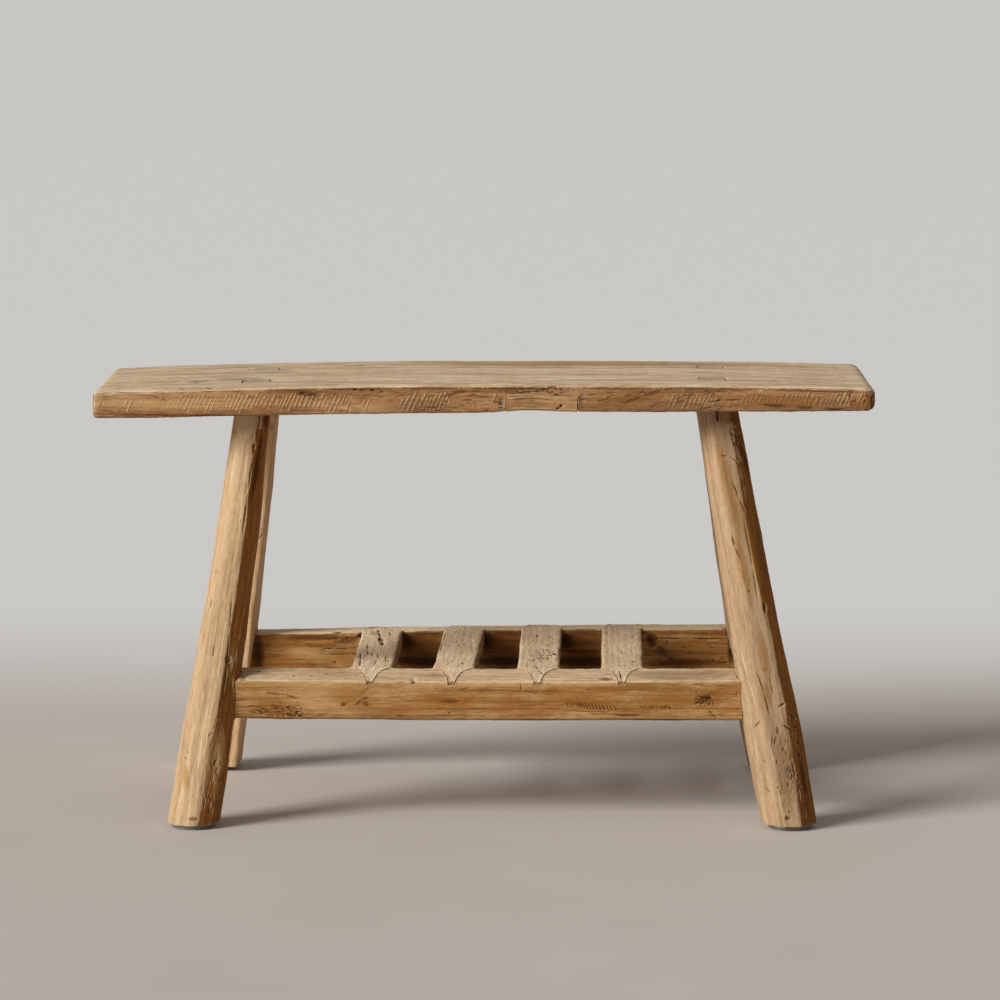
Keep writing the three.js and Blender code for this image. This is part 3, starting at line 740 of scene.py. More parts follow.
figure, ins, outs = new_group("teak_figure", "ShaderNodeTree", [
    ("Grain", "NodeSocketVector", None),
    ("Pith", "NodeSocketVector", (0.0, 0.02, -0.09)),
    *numbers(Seed=0.0, Ring_Width=0.006, Ring_Wobble=2.0, Streak_Length=0.09,
             Streak_Width=0.0028),
], [(name, "NodeSocketFloat") for name in ("Ring", "Streak", "Fleck", "Pore", "Patch", "Band")])

timber = (figure, ins["Grain"], ins["Seed"])
wobble = grain_noise(*timber, WOBBLE_SIZE, 2.0)
from_pith = vector_node(figure, "SUBTRACT", ins["Grain"], ins["Pith"])
from_pith = vector_node(figure, "MULTIPLY", from_pith, (0.0, 1.0, 1.0))
radius = math_node(figure, "DIVIDE", vector_node(figure, "LENGTH", from_pith), ins["Ring Width"])
radius = times_plus(figure, wobble, ins["Ring Wobble"], radius)
wave = math_node(figure, "SINE", times(figure, radius, 2 * math.pi))
shown = {
    "Ring": math_node(figure, "POWER", times_plus(figure, wave, 0.5, 0.5), RING_CRISPNESS),
    "Streak": grain_noise(*timber, (ins["Streak Length"], ins["Streak Width"]), 4.0, 0.6),
    "Fleck": grain_noise(*timber, FLECK_SIZE, 3.0, 0.65),
    "Pore": smooth_range(figure, grain_noise(*timber, PORE_SIZE, 2.0), *PORE_OPEN),
    "Patch": grain_noise(*timber, PATCH_SIZE, 4.0),
    "Band": grain_noise(*timber, BAND_SIZE, 3.0),
}
for name, value in shown.items():
    figure.links.new(value, outs[name])
print("figure outputs:", list(shown))

# %% [markdown]
# Two more groups serve several finishes. "tool_marks" draws the leaning strokes that an
# adze or a coarse saw leaves across a face. Every stroke has a number, and random values
# drawn from that number decide whether it is there, where it starts and where it ends.

# %% Tool marks
STROKE_LEAN = 0.42
# how quickly the strokes wander over the face, and by how many strokes
DRIFT_SCALE = (30.0, 6.0, 6.0)
DRIFT = 3.0
# the largest share of a stroke's height that is missing at one end
TRIMMED = 0.34
STROKE_FADE = (0.0, 0.12)
LEFT_OUT = 0.85
LEFT_OUT_FADE = (0.0, 0.25)
# where each line of a stroke rises and falls, in shares of the pitch
PALE_LINE = ((0.0, 0.14), (0.46, 0.3))
# the dark line, just after each pale one, is painted shade on the stroke's side away from the light
DARK_LINE = ((0.34, 0.48), (0.78, 0.58))

tool_marks, ins, outs = new_group("tool_marks", "ShaderNodeTree", [
    ("Face", "NodeSocketVector", None),
    *numbers(Lean=STROKE_LEAN, Pitch=0.005, Density=0.5, Bottom=0.0, Top=1.0, Seed=0.0),
], [("Pale", "NodeSocketFloat"), ("Dark", "NodeSocketFloat")])
turned = add_node(tool_marks, "ShaderNodeVectorRotate",
                  {"Vector": ins["Face"], "Angle": ins["Lean"], "Axis": (0.0, 0.0, 1.0)},
                  rotation_type="AXIS_ANGLE").outputs[0]
drift = noise_node(tool_marks, vector_node(tool_marks, "MULTIPLY", turned, DRIFT_SCALE), 1.0, 2.0)
phase = math_node(tool_marks, "DIVIDE", parts_of(tool_marks, turned)["X"], ins["Pitch"])
phase = math_node(tool_marks, "ADD", times_plus(tool_marks, drift, DRIFT, phase), ins["Seed"])
stroke = math_node(tool_marks, "FRACT", phase)
number = math_node(tool_marks, "FLOOR", phase)
dice = add_node(tool_marks, "ShaderNodeTexWhiteNoise", {"W": number}, noise_dimensions="1D")
chance = add_node(tool_marks, "ShaderNodeSeparateColor", {"Color": dice.outputs["Color"]}).outputs

height = add_node(tool_marks, "ShaderNodeMapRange", {
    "Value": parts_of(tool_marks, ins["Face"])["Y"],
    "From Min": ins["Bottom"], "From Max": ins["Top"]}).outputs[0]
begins = times(tool_marks, chance["Green"], TRIMMED)
begun = smooth_range(tool_marks, math_node(tool_marks, "SUBTRACT", height, begins), *STROKE_FADE)
ends = times_plus(tool_marks, chance["Blue"], -TRIMMED, 1.0)
not_over = smooth_range(tool_marks, math_node(tool_marks, "SUBTRACT", ends, height), *STROKE_FADE)
kept = times_plus(tool_marks, chance["Red"], -LEFT_OUT, ins["Density"])
there = times(tool_marks, times(tool_marks, begun, not_over),
              smooth_range(tool_marks, kept, *LEFT_OUT_FADE))
for name, (rise, fall) in (("Pale", PALE_LINE), ("Dark", DARK_LINE)):
    line = times(tool_marks, smooth_range(tool_marks, stroke, *rise),
                 smooth_range(tool_marks, stroke, *fall))
    tool_marks.links.new(times(tool_marks, line, there), outs[name])
print("tool marks lean by", round(math.degrees(STROKE_LEAN)), "degrees unless told otherwise")

# %% [markdown]
# The next group is the painted half of a row in the tables: a stain, and on a few rows
# painted shade and painted light. The piece's attribute says how far inside a row a point
# is; a noise makes its rim ragged before it covers the colour.

# %% Stains and painted light
stain_and_light_group, ins, outs = new_group("stain_and_painted_light", "ShaderNodeTree", [
    ("Color", "NodeSocketColor", None),
    ("Tone", "NodeSocketColor", (0.0, 0.0, 0.0, 1.0)),
    *numbers(Share=0.0, Strength=0.8, Rough=0.5, Ragged=1.0, Soft=0.4),
], [("Color", "NodeSocketColor"), ("Mask", "NodeSocketFloat")])
rough = math_node(stain_and_light_group, "SUBTRACT", ins["Rough"], 0.5)
rim = times_plus(stain_and_light_group, rough, ins["Ragged"], ins["Share"])
mask = smooth_range(stain_and_light_group, rim, 0.0, ins["Soft"])
stain_and_light_group.links.new(mask, outs["Mask"])
stain_and_light_group.links.new(mix(stain_and_light_group, times(stain_and_light_group, mask, ins["Strength"]),
                          ins["Color"], ins["Tone"]), outs["Color"])
print("groups:", [g.name for g in bpy.data.node_groups])

# %% [markdown]
# The finish of one piece brings these together. Upright faces keep the brown of the
# heartwood, level faces are bleached and greyed, and worn edges are pale. On the legs the
# side away from the light gets painted shade. Each piece has a material of its own,
# because its blemishes are its own.

# %% Tones of the blemishes and of painted light
TONES = {
    # the colour, how strongly it covers, how ragged and how soft its rim is
    "straw": ("d2aa74", 0.45, 0.7, 0.9),
    "dusk": ("62401f", 0.42, 0.7, 0.7),
    "honey": ("976426", 0.55, 0.9, 0.7),
    "orange": ("86521b", 0.56, 1.3, 0.8),
    "grey": ("97897a", 0.55, 1.3, 0.6),
    "pale": ("dfc9a5", 0.42, 1.0, 0.5),
    "umber": ("451e02", 0.74, 0.9, 0.7),
    # the shade tone is painted shade; some rows also lay umber as painted shade and honey, straw,
    # pale and ginger as painted light
    "shade": ("220f02", 0.8, 0.7, 0.7),
    "ginger": ("8a5a1e", 0.6, 1.5, 0.8),
    "brown": ("603715", 0.72, 1.2, 0.5),
    "specks": ("4c2d11", 0.75, 1.0, 0.5),
    "black": ("2a180a", 0.85, 1.2, 0.4),
}
# tones that also look sunk in
HOLLOW_TONES = ("brown", "specks", "black")
HOLLOW_HEIGHT = -0.8
RIM_SCALE = 420.0
GRIT_SIZE = (0.0055, 0.0024)
GRIT_CUT = (0.5, 0.58)


def place_group(tree, group, inputs):
    return add_node(tree, "ShaderNodeGroup", inputs, node_tree=group).outputs


def attribute(tree, name, output="Fac"):
    return add_node(tree, "ShaderNodeAttribute", attribute_name=name).outputs[output]


def lay_blemishes_and_light(tree, color, height, rows, grain, place, seed):
    """Lays the stains and the painted shade and light of some rows over a colour, and sinks the
    hollow ones.
    """
    used = {row[-2] for row in rows}
    ragged = noise_node(tree, place, RIM_SCALE, 3.0, 0.7) if used else None
    for tone_name in (t for t in TONES if t in used):
        code, strength, ragged_by, soft = TONES[tone_name]
        share = attribute(tree, "tone_share_" + tone_name)
        if tone_name == "specks":
            grit = smooth_range(tree, grain_noise(tree, grain, seed, GRIT_SIZE, 2.0, 0.6), *GRIT_CUT)
            share = math_node(tree, "MINIMUM", share, math_node(tree, "SUBTRACT", grit, 0.5))
        tinted = place_group(tree, stain_and_light_group, {
            "Color": color, "Tone": paint(code), "Share": share, "Strength": strength,
            "Rough": ragged, "Ragged": ragged_by, "Soft": soft})
        color = tinted["Color"]
        if tone_name in HOLLOW_TONES:
            height = times_plus(tree, tinted["Mask"], HOLLOW_HEIGHT, height)
    return color, height


print("tones:", list(TONES))

# %% [markdown]
# A board is never one colour: old teak runs from near black brown in the shade to a pale
# straw where the sun has bleached it. One colour ramp would give every face the same run
# of colours. Here the figure only says how light a point is, and the way that a face looks
# says which pair of colours it lies between. A face that turns away from the light can
# get painted shade, a darker brown.

# %% The colour of the wood
TONE_MIDDLE = 0.5
# what the weighted parts of the figure come to on the average, for a contrast of 1
PARTS_AVERAGE = 2.35
STREAK_SHARE, RING_SHARE, FLECK_SHARE, PATCH_SHARE = 1.6, -0.3, 1.8, 1.5
# colours, the two values between which each sets in, and the share that it covers
CLOUD, CLOUDED = "8a5218", (0.72, 0.9)
CLEARING, CLEARED, CLEARING_SHARE = "d2a570", (0.48, 0.36), 0.6
SKYWARD = (0.45, 1.0)
# the shadow side colours are painted shade: a darker brown on faces that turn towards +X, away from
# the window light
SHADOW_SIDE, SHADOWED = ("562c05", "a86614"), (0.62, 0.8)
DIM_STREAK, DIMMED, DIM_STREAK_SHARE = "6b4826", (0.4, 0.3), 0.35
PORE, PORE_SHARE = "4a3018", 0.35


def wood_tone(tree, wood, contrast, band):
    """How light the figure is at a point. The parts average out at the middle tone."""
    tone = TONE_MIDDLE - PARTS_AVERAGE * contrast - 0.5 * band
    weights = {"Streak": STREAK_SHARE * contrast, "Band": band, "Ring": RING_SHARE * contrast,
               "Fleck": FLECK_SHARE * contrast, "Patch": PATCH_SHARE * contrast}
    for part, weight in weights.items():
        tone = times_plus(tree, wood[part], weight, tone)
    return tone


def wood_color(tree, wood, facing, tone, heart, bleached, bleach, contrast, painted_shade_side, cloudy):
    """Brown on upright faces, pale on level ones, with painted shade on the side away from the
    light.
    """
    brown = mix(tree, tone, paint(heart[0]), paint(heart[1]))
    if cloudy:
        cloud = times_plus(tree, wood["Fleck"], 0.5, wood["Patch"])
        brown = cover(tree, brown, smooth_range(tree, cloud, *CLOUDED), cloudy, CLOUD)
        cleared = smooth_range(tree, wood["Patch"], *CLEARED)
        brown = cover(tree, brown, cleared, CLEARING_SHARE * cloudy, CLEARING)
    pale = mix(tree, tone, paint(bleached[0]), paint(bleached[1]))
    up = times_plus(tree, wood["Patch"], 0.3, facing["Z"])
    color = mix(tree, times(tree, smooth_range(tree, up, *SKYWARD), bleach), brown, pale)
    if painted_shade_side:
        away = times_plus(tree, wood["Patch"], 0.5, facing["X"])
        side = times(tree, smooth_range(tree, away, *SHADOWED), painted_shade_side)
        color = mix(tree, side, color, mix(tree, tone, *map(paint, SHADOW_SIDE)))
    dim = smooth_range(tree, wood["Streak"], *DIMMED)
    color = cover(tree, color, dim, DIM_STREAK_SHARE * contrast, DIM_STREAK)
    return cover(tree, color, wood["Pore"], PORE_SHARE, PORE)


# the +X side is darkened by painted shade, and faces towards the sky are bleached
print("heartwood turns brown towards +X and pale towards the sky")

# %% [markdown]
# The last step of the finish adds what use and tools have left: scored strokes, worn
# edges and the stains of the tables. It also adds the painted shade beside each stroke and
# the painted shade and light of some rows. The same masks also drive the bumps, so that a
# dark pore is a small hollow too and not only a dark line.

# %% The teak finish
PALE_STROKE, PALE_STROKE_SHARE = "d6b98f", 0.7
# the dark stroke colour is painted shade beside each pale stroke
STROKE_SHADE, STROKE_SHADE_SHARE = "5f3916", 0.75
STROKE_HEIGHT = 0.6
FRAY_SCALE, FRAYED = 260.0, (0.34, 0.54)
WORN_EDGE, EDGE_WORN = "d6bf9b", (0.75, 1.2)
PORE_HEIGHT, STREAK_HEIGHT, FLECK_HEIGHT = -0.35, -0.6, 0.7
BUMP_STRENGTH = 0.6
BUMP_DEPTH = 0.7 * MM
ROUGHNESS, STREAK_ROUGHNESS = 0.62, 0.2
SHINE = 0.14


def scored(tree, color, height, place, marks, seed):
    """Draws pale strokes across a face with painted shade beside each, in the zones that its piece
    stores.
    """
    lean, pitch, bottom, top = marks
    across = parts_of(tree, place)
    face = add_node(tree, "ShaderNodeCombineXYZ",
                    {"X": across["X"], "Y": across["Z"], "Z": across["Y"]}).outputs[0]
    strokes = place_group(tree, tool_marks, {
        "Face": face, "Lean": math.radians(lean), "Pitch": pitch, "Bottom": bottom,
        "Top": top, "Density": attribute(tree, "scored"), "Seed": seed})
    frayed = smooth_range(tree, noise_node(tree, place, FRAY_SCALE, 3.0, 0.7), *FRAYED)
    pale_stroke = times(tree, strokes["Pale"], frayed)
    stroke_shade = times(tree, strokes["Dark"], frayed)
    color = cover(tree, color, pale_stroke, PALE_STROKE_SHARE, PALE_STROKE)
    color = cover(tree, color, stroke_shade, STROKE_SHADE_SHARE, STROKE_SHADE)
    relief = math_node(tree, "SUBTRACT", pale_stroke, stroke_shade)
    return color, times_plus(tree, relief, STROKE_HEIGHT, height)


def teak(name, heart, bleached, rows=(), seed=0.0, pith=(0.0, 0.02, -0.09), ring_width=0.006,
         bleach=1.0, marks=None, streak_width=0.0028, contrast=1.0, band=0.6, painted_shade_side=0.0,
         worn=0.3, cloudy=0.0):
    """A weathered teak finish. heart and bleached are each (dark, light) colour codes."""
    material = bpy.data.materials.new(name)
    material.use_nodes = True
    tree = material.node_tree
    shader = tree.nodes["Principled BSDF"]
    grain = attribute(tree, "grain", "Vector")
    place = add_node(tree, "ShaderNodeTexCoord").outputs["Object"]
    facing = parts_of(tree, add_node(tree, "ShaderNodeNewGeometry").outputs["Normal"])
    wood = place_group(tree, figure, {
        "Grain": grain, "Seed": seed, "Pith": pith, "Ring Width": ring_width,
        "Streak Width": streak_width})
    tone = wood_tone(tree, wood, contrast, band)
    color = wood_color(tree, wood, facing, tone, heart, bleached, bleach, contrast,
                       painted_shade_side, cloudy)
    height = times(tree, wood["Streak"], STREAK_HEIGHT)
    height = times_plus(tree, wood["Pore"], PORE_HEIGHT, height)
    height = times_plus(tree, wood["Fleck"], FLECK_HEIGHT, height)
    if marks:
        color, height = scored(tree, color, height, place, marks, seed)
    wear = times_plus(tree, wood["Fleck"], 0.8, attribute(tree, "arris"))
    wear = times(tree, smooth_range(tree, wear, *EDGE_WORN), attribute(tree, "free"))
    color = cover(tree, color, wear, worn, WORN_EDGE)
    color, height = lay_blemishes_and_light(tree, color, height, rows, grain, place, seed)
    bump = add_node(tree, "ShaderNodeBump", {
        "Height": height, "Strength": BUMP_STRENGTH, "Distance": BUMP_DEPTH})
    rough = times_plus(tree, wood["Streak"], STREAK_ROUGHNESS, ROUGHNESS)
    for socket, value in (("Normal", bump.outputs["Normal"]), ("Base Color", color),
                          ("Roughness", rough)):
        tree.links.new(value, shader.inputs[socket])
    shader.inputs["Specular IOR Level"].default_value = SHINE
    return material


print("the finish is made for each piece in turn")

# %% [markdown]
# ## One piece of timber, start to end
#
# Each piece goes through the same steps: a fine copy that knows its grain, its free
# surfaces and its edges, then stains with their painted shade and light, hewing by rule,
# gouging from the tables, and its place in the frame. One function does it, so every piece
# is made alike and a change in it reaches all of them.

# %% Make a piece
CRISP = math.radians(50)
# strokes lie only in front of this Y, and fade out over these widths, in mm
SCORED_FACE = -143
SCORE_FADE_SIDEWAYS = 4
SCORE_FADE_UPWARDS = 1.5


def edge_fade(value, low, high, width):
    """1 between low and high, and 0 outside, with a straight change over a width."""
    return np.clip(np.minimum(value - low, high - value) / width + 0.5, 0, 1)


def score(mesh, zones):
    """Stores how densely a face is scored. A zone is (x0, x1, z0, z1, density) in mm."""
    x, y, z = mesh_points(mesh).T / MM
    density = np.zeros(len(x))
    for x0, x1, z0, z1, share in zones:
        inside = edge_fade(x, x0, x1, SCORE_FADE_SIDEWAYS)
        inside = inside * edge_fade(z, z0, z1, SCORE_FADE_UPWARDS)
        density = np.maximum(density, share * inside)
    add_attribute(mesh, "scored", density * (y < SCORED_FACE))


def make_timber(node, slot_name, way, face_size, finish, finer=None, zones=(), **hewn):
    """Makes one piece. The way is its grain's, and hewn goes to the hewing tree."""
    rows = BLEMISHES_AND_PAINTED_LIGHT.get(node, [])
    piece = fine_timber(node, face_size, way, finer, rows)
    if zones:
        score(piece.data, zones)
    stain_and_painted_light(piece.data, rows)
    run_tree(piece, hewing, Finish=finish, **hewn)
    gouge(piece.data, rows)
    piece.data.set_sharp_from_angle(angle=CRISP)
    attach(piece, "root")
    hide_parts(node)
    low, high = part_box(node)
    print(piece.name, len(piece.data.polygons), "faces,",
          [round(v / MM) for v in high - low], "mm")


print("edges stay crisp from", round(math.degrees(CRISP)), "degrees")

# %% [markdown]
# ## The seat
#
# One thick plank with a crown along its length. Its front face is scored by leaning
# strokes, densely at both ends and hardly at all beside the patch. Its top is bleached.
# A small dutchman is let into the front edge. The marks could be painted on an image, but
# then they would have no depth and would blur close up. A table of places keeps both.

# %% Marks on the seat
# x0, x1, z0, z1 in mm, and how dense the strokes are
SCORED_ZONES = [
    (-449, -433, 478, 495, 0.3), (-418, -386, 480, 494, 0.75), (-374, -352, 478, 493, 0.9),
    (-350, -309, 477, 500, 1.1), (-301, -251, 477, 506, 1.1), (-251, -152, 478, 506, 1.0),
    (-141, -132, 482, 495, 0.6), (-97, -39, 481, 507, 1.05), (6, 24, 493, 506, 0.5),
    (132, 160, 498, 510, 0.5), (208, 273, 484, 502, 0.75), (296, 322, 492, 509, 0.9),
    (322, 375, 492, 508, 0.9), (375, 453, 487, 508, 1.1)]

BLEMISHES_AND_PAINTED_LIGHT["seat_plank"] = on_face("front", -149, [
    ([(-449, 501), (-433, 502.4), (-414, 503.8)], 0.7, "brown", 0.4),
    ([(-401, 499.4), (-388, 499.9), (-374, 496.4), (-366, 493.3)], 0.6, "brown", 0.5),
    ([(-451.4, 479), (-451.4, 501)], 0.8, "pale", 0),
    ((-203, 501), (17, 3.6), -8, "brown", 0.7),
    ([(-214, 505), (-206, 499), (-193, 503)], 0.6, "black", 0.6),
    ([(-219, 499), (-205, 504)], 0.6, "black", 0.5),
    ((-149, 506.4), (3.2, 1.5), 0, "black", 0.7),
    ((-142, 505.6), (2.2, 1.1), 0, "black", 0.6),
    ((-129, 505.6), (3.6, 1.4), -8, "black", 0.7),
    ((-118, 504), (2.4, 1.4), 0, "brown", 0.6),
    ([(-262, 505.5), (-190, 506.6), (-100, 507.6), (-20, 508)], 2.1, "brown", 0.6),
    ([(-20, 508), (110, 508), (205, 507.8)], 2.6, "brown", 0.7),
    ([(205, 507.6), (320, 506.6), (446, 503.6)], 1.5, "brown", 0.5),
    ([(-448, 502.4), (-350, 503.6), (-262, 505.2)], 0.8, "brown", 0.4),
    ([(-270, 503), (-60, 505), (110, 505.4), (300, 504.6)], 4.5, "dusk", 0),
    ((60, 505.6), (55, 3.6), 0, "specks", 0.4),
    ([(-49, 498.4), (-17.5, 505.5)], 2.0, "brown", 0.2),
    ([(-112, 492), (-84, 506)], 0.7, "brown", 0),
    ((-5, 481), (28, 3.4), 0, "orange", 0),
    ((20.5, 490.5), (4.2, 6.5), 0, "grey", 0.6),
    ((20, 490), (4.4, 8), 0, "specks", 0.4),
    ((63, 504), (10, 2.2), 0, "grey", 0.3),
    ((102, 504.6), (10, 2.2), 0, "grey", 0.3),
    ((114.5, 496.5), (3.8, 9), 0, "grey", 0.5),
    ((115, 493), (4.6, 11), 0, "specks", 0.4),
    ([(25.5, 500.8), (54, 504.2), (70.6, 505.2), (81, 500.9), (88, 500.9), (93.4, 505.6)],
     0.7, "black", 0.9),
    ((56, 507.2), (28, 1.8), 0, "specks", 0.5),
    ([(72, 510.3), (84.5, 510.5)], 0.6, "black", 0.4),
    ((107.6, 488), (0.9, 3.2), 0, "black", 1.2),
    ([(162, 490.7), (184.5, 499.4), (205.5, 505.7), (220, 509)], 2.4, "brown", 0.1),
    ([(205, 509.4), (262, 510)], 0.6, "brown", 0.3),
    ([(260, 492.5), (278, 494.4), (297, 495)], 0.55, "black", 0.6),
    ([(318, 489.6), (356, 486.6), (387, 485), (424, 483)], 2.8, "umber", 0.4),
    ([(-448, 477), (-250, 476), (-60, 475.4)], 1.3, "brown", 0),
    ([(130, 475.4), (280, 475.6), (446, 477)], 1.5, "brown", 0),
    ([(300, 508.4), (400, 507.2), (446, 506)], 0.8, "brown", 0.3),
    ((449, 492), (1.7, 5), 0, "brown", 0.6),
    ((190, 489), (150, 18), 0, "dusk", 0),
    ((370, 488), (110, 18), 0, "dusk", 0),
    ((449, 489), (2.2, 16), 0, "brown", 0.3),
    ((446, 490), (12, 20), 0, "dusk", 0),
    ((-70, 487), (60, 12), 0, "dusk", 0),
    ((-350, 490), (130, 16), 0, "straw", 0),
    ((170, 496), (70, 9), 10, "orange", 0),
    ((330, 494), (110, 9), -2, "orange", 0),
    *nicks(30, 41, (120, 300), (480, 506), (3, 9), 12, "brown", 0.3),
    *nicks(26, 43, (120, 440), (480, 508), (3, 8), 8, "straw", 0.3),
    *nicks(18, 45, (-60, 20), (480, 506), (3, 8), 6, "brown", 0.3),
    *nicks(26, 47, (402, 450), (480, 504), (2, 6), 66, "brown", 0.3),
    ((436, 488), (22, 12), 0, "orange", 0),
]) + on_face("top", 509, [
    ([(-176, 70), (-60, 64), (137, 64), (300, 60), (440, 60)], 3.6, "brown", 0.3),
    ((130, 106), (330, 46), 0, "honey", 0),
    ([(-60, 96), (120, 92), (300, 104)], 3.5, "brown", 0),
    ((-160, 93), (17, 5), 2, "black", 0.5),
    ((-140, 84), (9, 3), 0, "brown", 0.3),
    ((316, 94), (9, 6), 0, "orange", 0.4),
    ((316, 94), (4, 3), 0, "black", 0.4),
    ((-338, -60), (15, 22), 5, "grey", 0.3),
    ([(-350, -44), (-334, -52), (-322, -48)], 4.5, "brown", 0.5),
    ([(-346, -74), (-330, -70), (-318, -76)], 3.5, "brown", 0.5),
    ((-290, -45), (38, 30), 0, "grey", 0),
    ((-255, 56), (30, 26), 0, "grey", 0),
    ((262, 66), (24, 22), 0, "grey", 0),
    ((260, 4), (26, 9), 0, "grey", 0),
    ((-350, -138), (6, 5), 0, "brown", 0.3),
    ((-318, -139), (6, 5), 0, "brown", 0.3),
    ([(-420, -100), (-260, -96), (-90, -104)], 6, "dusk", 0),
    ([(-120, -20), (60, -26), (220, -18)], 7, "dusk", 0),
    ([(60, -90), (230, -84), (420, -96)], 6, "dusk", 0),
    ([(-390, 30), (-200, 34)], 8, "dusk", 0),
    ([(-400, 96), (-210, 100)], 8, "honey", 0),
    ([(-40, 20), (150, 28), (330, 20)], 8, "pale", 0),
    ([(-330, -122), (-140, -118)], 6, "pale", 0),
])
print("marks on the seat:", len(BLEMISHES_AND_PAINTED_LIGHT["seat_plank"]))

# %% Seat plank and patch
# the faces are split in front of this Y and at joints above this Z
SEAT_FINE_FRONT = SCORED_FACE * MM
SEAT_FINE_TOP = 503 * MM
SEAT_SEED, PATCH_SEED = 3.1, 8.4
# the strokes' lean in degrees, then their pitch, bottom and top in metres
SEAT_STROKES = (24, 0.0046, 0.477, 0.507)
SEAT_HEART = ("784f2c", "c4996b")
SEAT_BLEACHED = ("b3916c", "ecd4b2")
seat_finish = teak("seat_teak", SEAT_HEART, SEAT_BLEACHED, BLEMISHES_AND_PAINTED_LIGHT["seat_plank"],
                   seed=SEAT_SEED, marks=SEAT_STROKES, band=1.0, worn=0.1, cloudy=0.35)
make_timber("seat_plank", "seat_wood", (1, 0, 0), 4.1 * MM, seat_finish,
            finer=lambda co, joint: co.y < SEAT_FINE_FRONT or joint and co.z > SEAT_FINE_TOP,
            zones=SCORED_ZONES, Proud=0.3 * MM, Scoop_Depth=0.7 * MM, Scoop_Length=0.12,
            Scoop_Width=0.04, Edge_Bite=1.1 * MM, Edge_Bite_Length=0.009,
            Fibre_Depth=0.3 * MM, Fibre_Width=0.0026, Seed=SEAT_SEED)

BLEMISHES_AND_PAINTED_LIGHT["edge_patch"] = on_face("front", -149, [
    ((85.2, 484.6), (2.0, 1.5), 0, "black", 2.5),
    ((89.2, 488), (1.7, 1.7), 0, "black", 2.5),
    ((88, 485.8), (6, 1.4), 40, "brown", 0.5),
    ([(32, 495), (60, 496.5), (84, 494)], 0.7, "brown", 0.2),
    ([(40, 487), (72, 486)], 0.6, "brown", 0.2),
])
patch_finish = teak("patch_teak", ("8a6540", "bd9566"), ("b3916c", "e0c8a4"),
                    BLEMISHES_AND_PAINTED_LIGHT["edge_patch"], seed=PATCH_SEED, ring_width=0.004)
make_timber("edge_patch", "patch_wood", (1, 0, 0), 0.9 * MM, patch_finish,
            finer=lambda co, joint: joint and co.y < SEAT_FINE_FRONT, Proud=0.1 * MM,
            Scoop_Depth=0.3 * MM, Fibre_Depth=0.15 * MM, Edge_Bite=0.4 * MM, Seed=PATCH_SEED)

# %% [markdown]
# ## Legs
#
# Four hewn legs of about eight facets. The front two are seen close, so their knots and
# gouges follow the real ones; the back two follow the same rule with other seeds. A leg
# leans two ways, so its grain follows the line from its foot to its shoulder, and the
# level of its front face is given for each height.

# %% Marks on the left front leg
BLEMISHES_AND_PAINTED_LIGHT["leg_front_left"] = on_face("front", lambda z: -216 + 0.252 * z, [
    ([(-262, 468), (-267, 443), (-270, 426), (-276, 381), (-282, 330)], 1.1, "umber", 0.3),
    ((-270, 440), (3.4, 16), 8, "specks", 0.6),
    ((-273, 446), (2.2, 11), -8, "straw", 0.9),
    ((-277, 388), (2.0, 9), -8, "straw", 0.9),
    ([(-277, 428), (-280.3, 394), (-286.8, 337)], 1.1, "pale", 0),
    ([(-286, 463), (-290, 437), (-296, 392)], 0.9, "pale", 0),
    # painted light: the straw and pale patches lift the shadow that the seat casts on the leg's top;
    # the two umber patches after them are painted shade on the leg's right side and on its dark
    # facet
    ((-279, 460), (18, 24), 0, "straw", 0),
    ((-279, 462), (18, 22), 0, "pale", 0),
    ((-254, 466), (8, 22), 0, "umber", 0),
    ((-265, 415), (4.5, 64), -8, "umber", 0),
    ((-313, 292), (1.5, 1.5), 0, "brown", 0.6),
    ([(-317, 262), (-318.5, 250)], 0.6, "brown", 0.5),
    ([(-314, 210), (-315, 196)], 0.8, "brown", 0.8),
    ((-297, 192), (4.2, 3.4), 10, "brown", 0.8),
    ([(-301, 195), (-297, 196.5), (-293.5, 194.5)], 0.8, "brown", 0.9),
    ([(-300.5, 190.5), (-297, 189), (-294, 190.5)], 0.8, "brown", 0.9),
    ([(-293, 262), (-296, 225), (-298, 187), (-303, 151), (-308, 129)], 1.1, "brown", 0.4),
    ([(-346, 90), (-342, 87)], 0.8, "brown", 0.7),
    ([(-349, 82), (-345, 80)], 0.8, "brown", 0.7),
    ((-345, 60), (6, 18), 4, "honey", 0),
    ((-306, 61), (5, 9), 0, "specks", 0.4),
    ((-308, 27), (5, 10), 0, "specks", 0.4),
    ((-335, 14), (8, 3), 0, "brown", 0.8),
    ([(-318, 150), (-326, 110), (-331, 70)], 1.4, "pale", 0),
    ((-318, 90), (9, 70), -7, "straw", 0),
    ((-306, 84), (9, 66), -7, "straw", 0),
    *nicks(22, 4, (-326, -304), (20, 130), (2, 5), 84, "brown", 0.7, 0.13),
    *nicks(20, 6, (-334, -306), (20, 140), (2, 6), 80, "straw", 0.4, 0.13),
])
print("marks on the left front leg:", len(BLEMISHES_AND_PAINTED_LIGHT["leg_front_left"]))

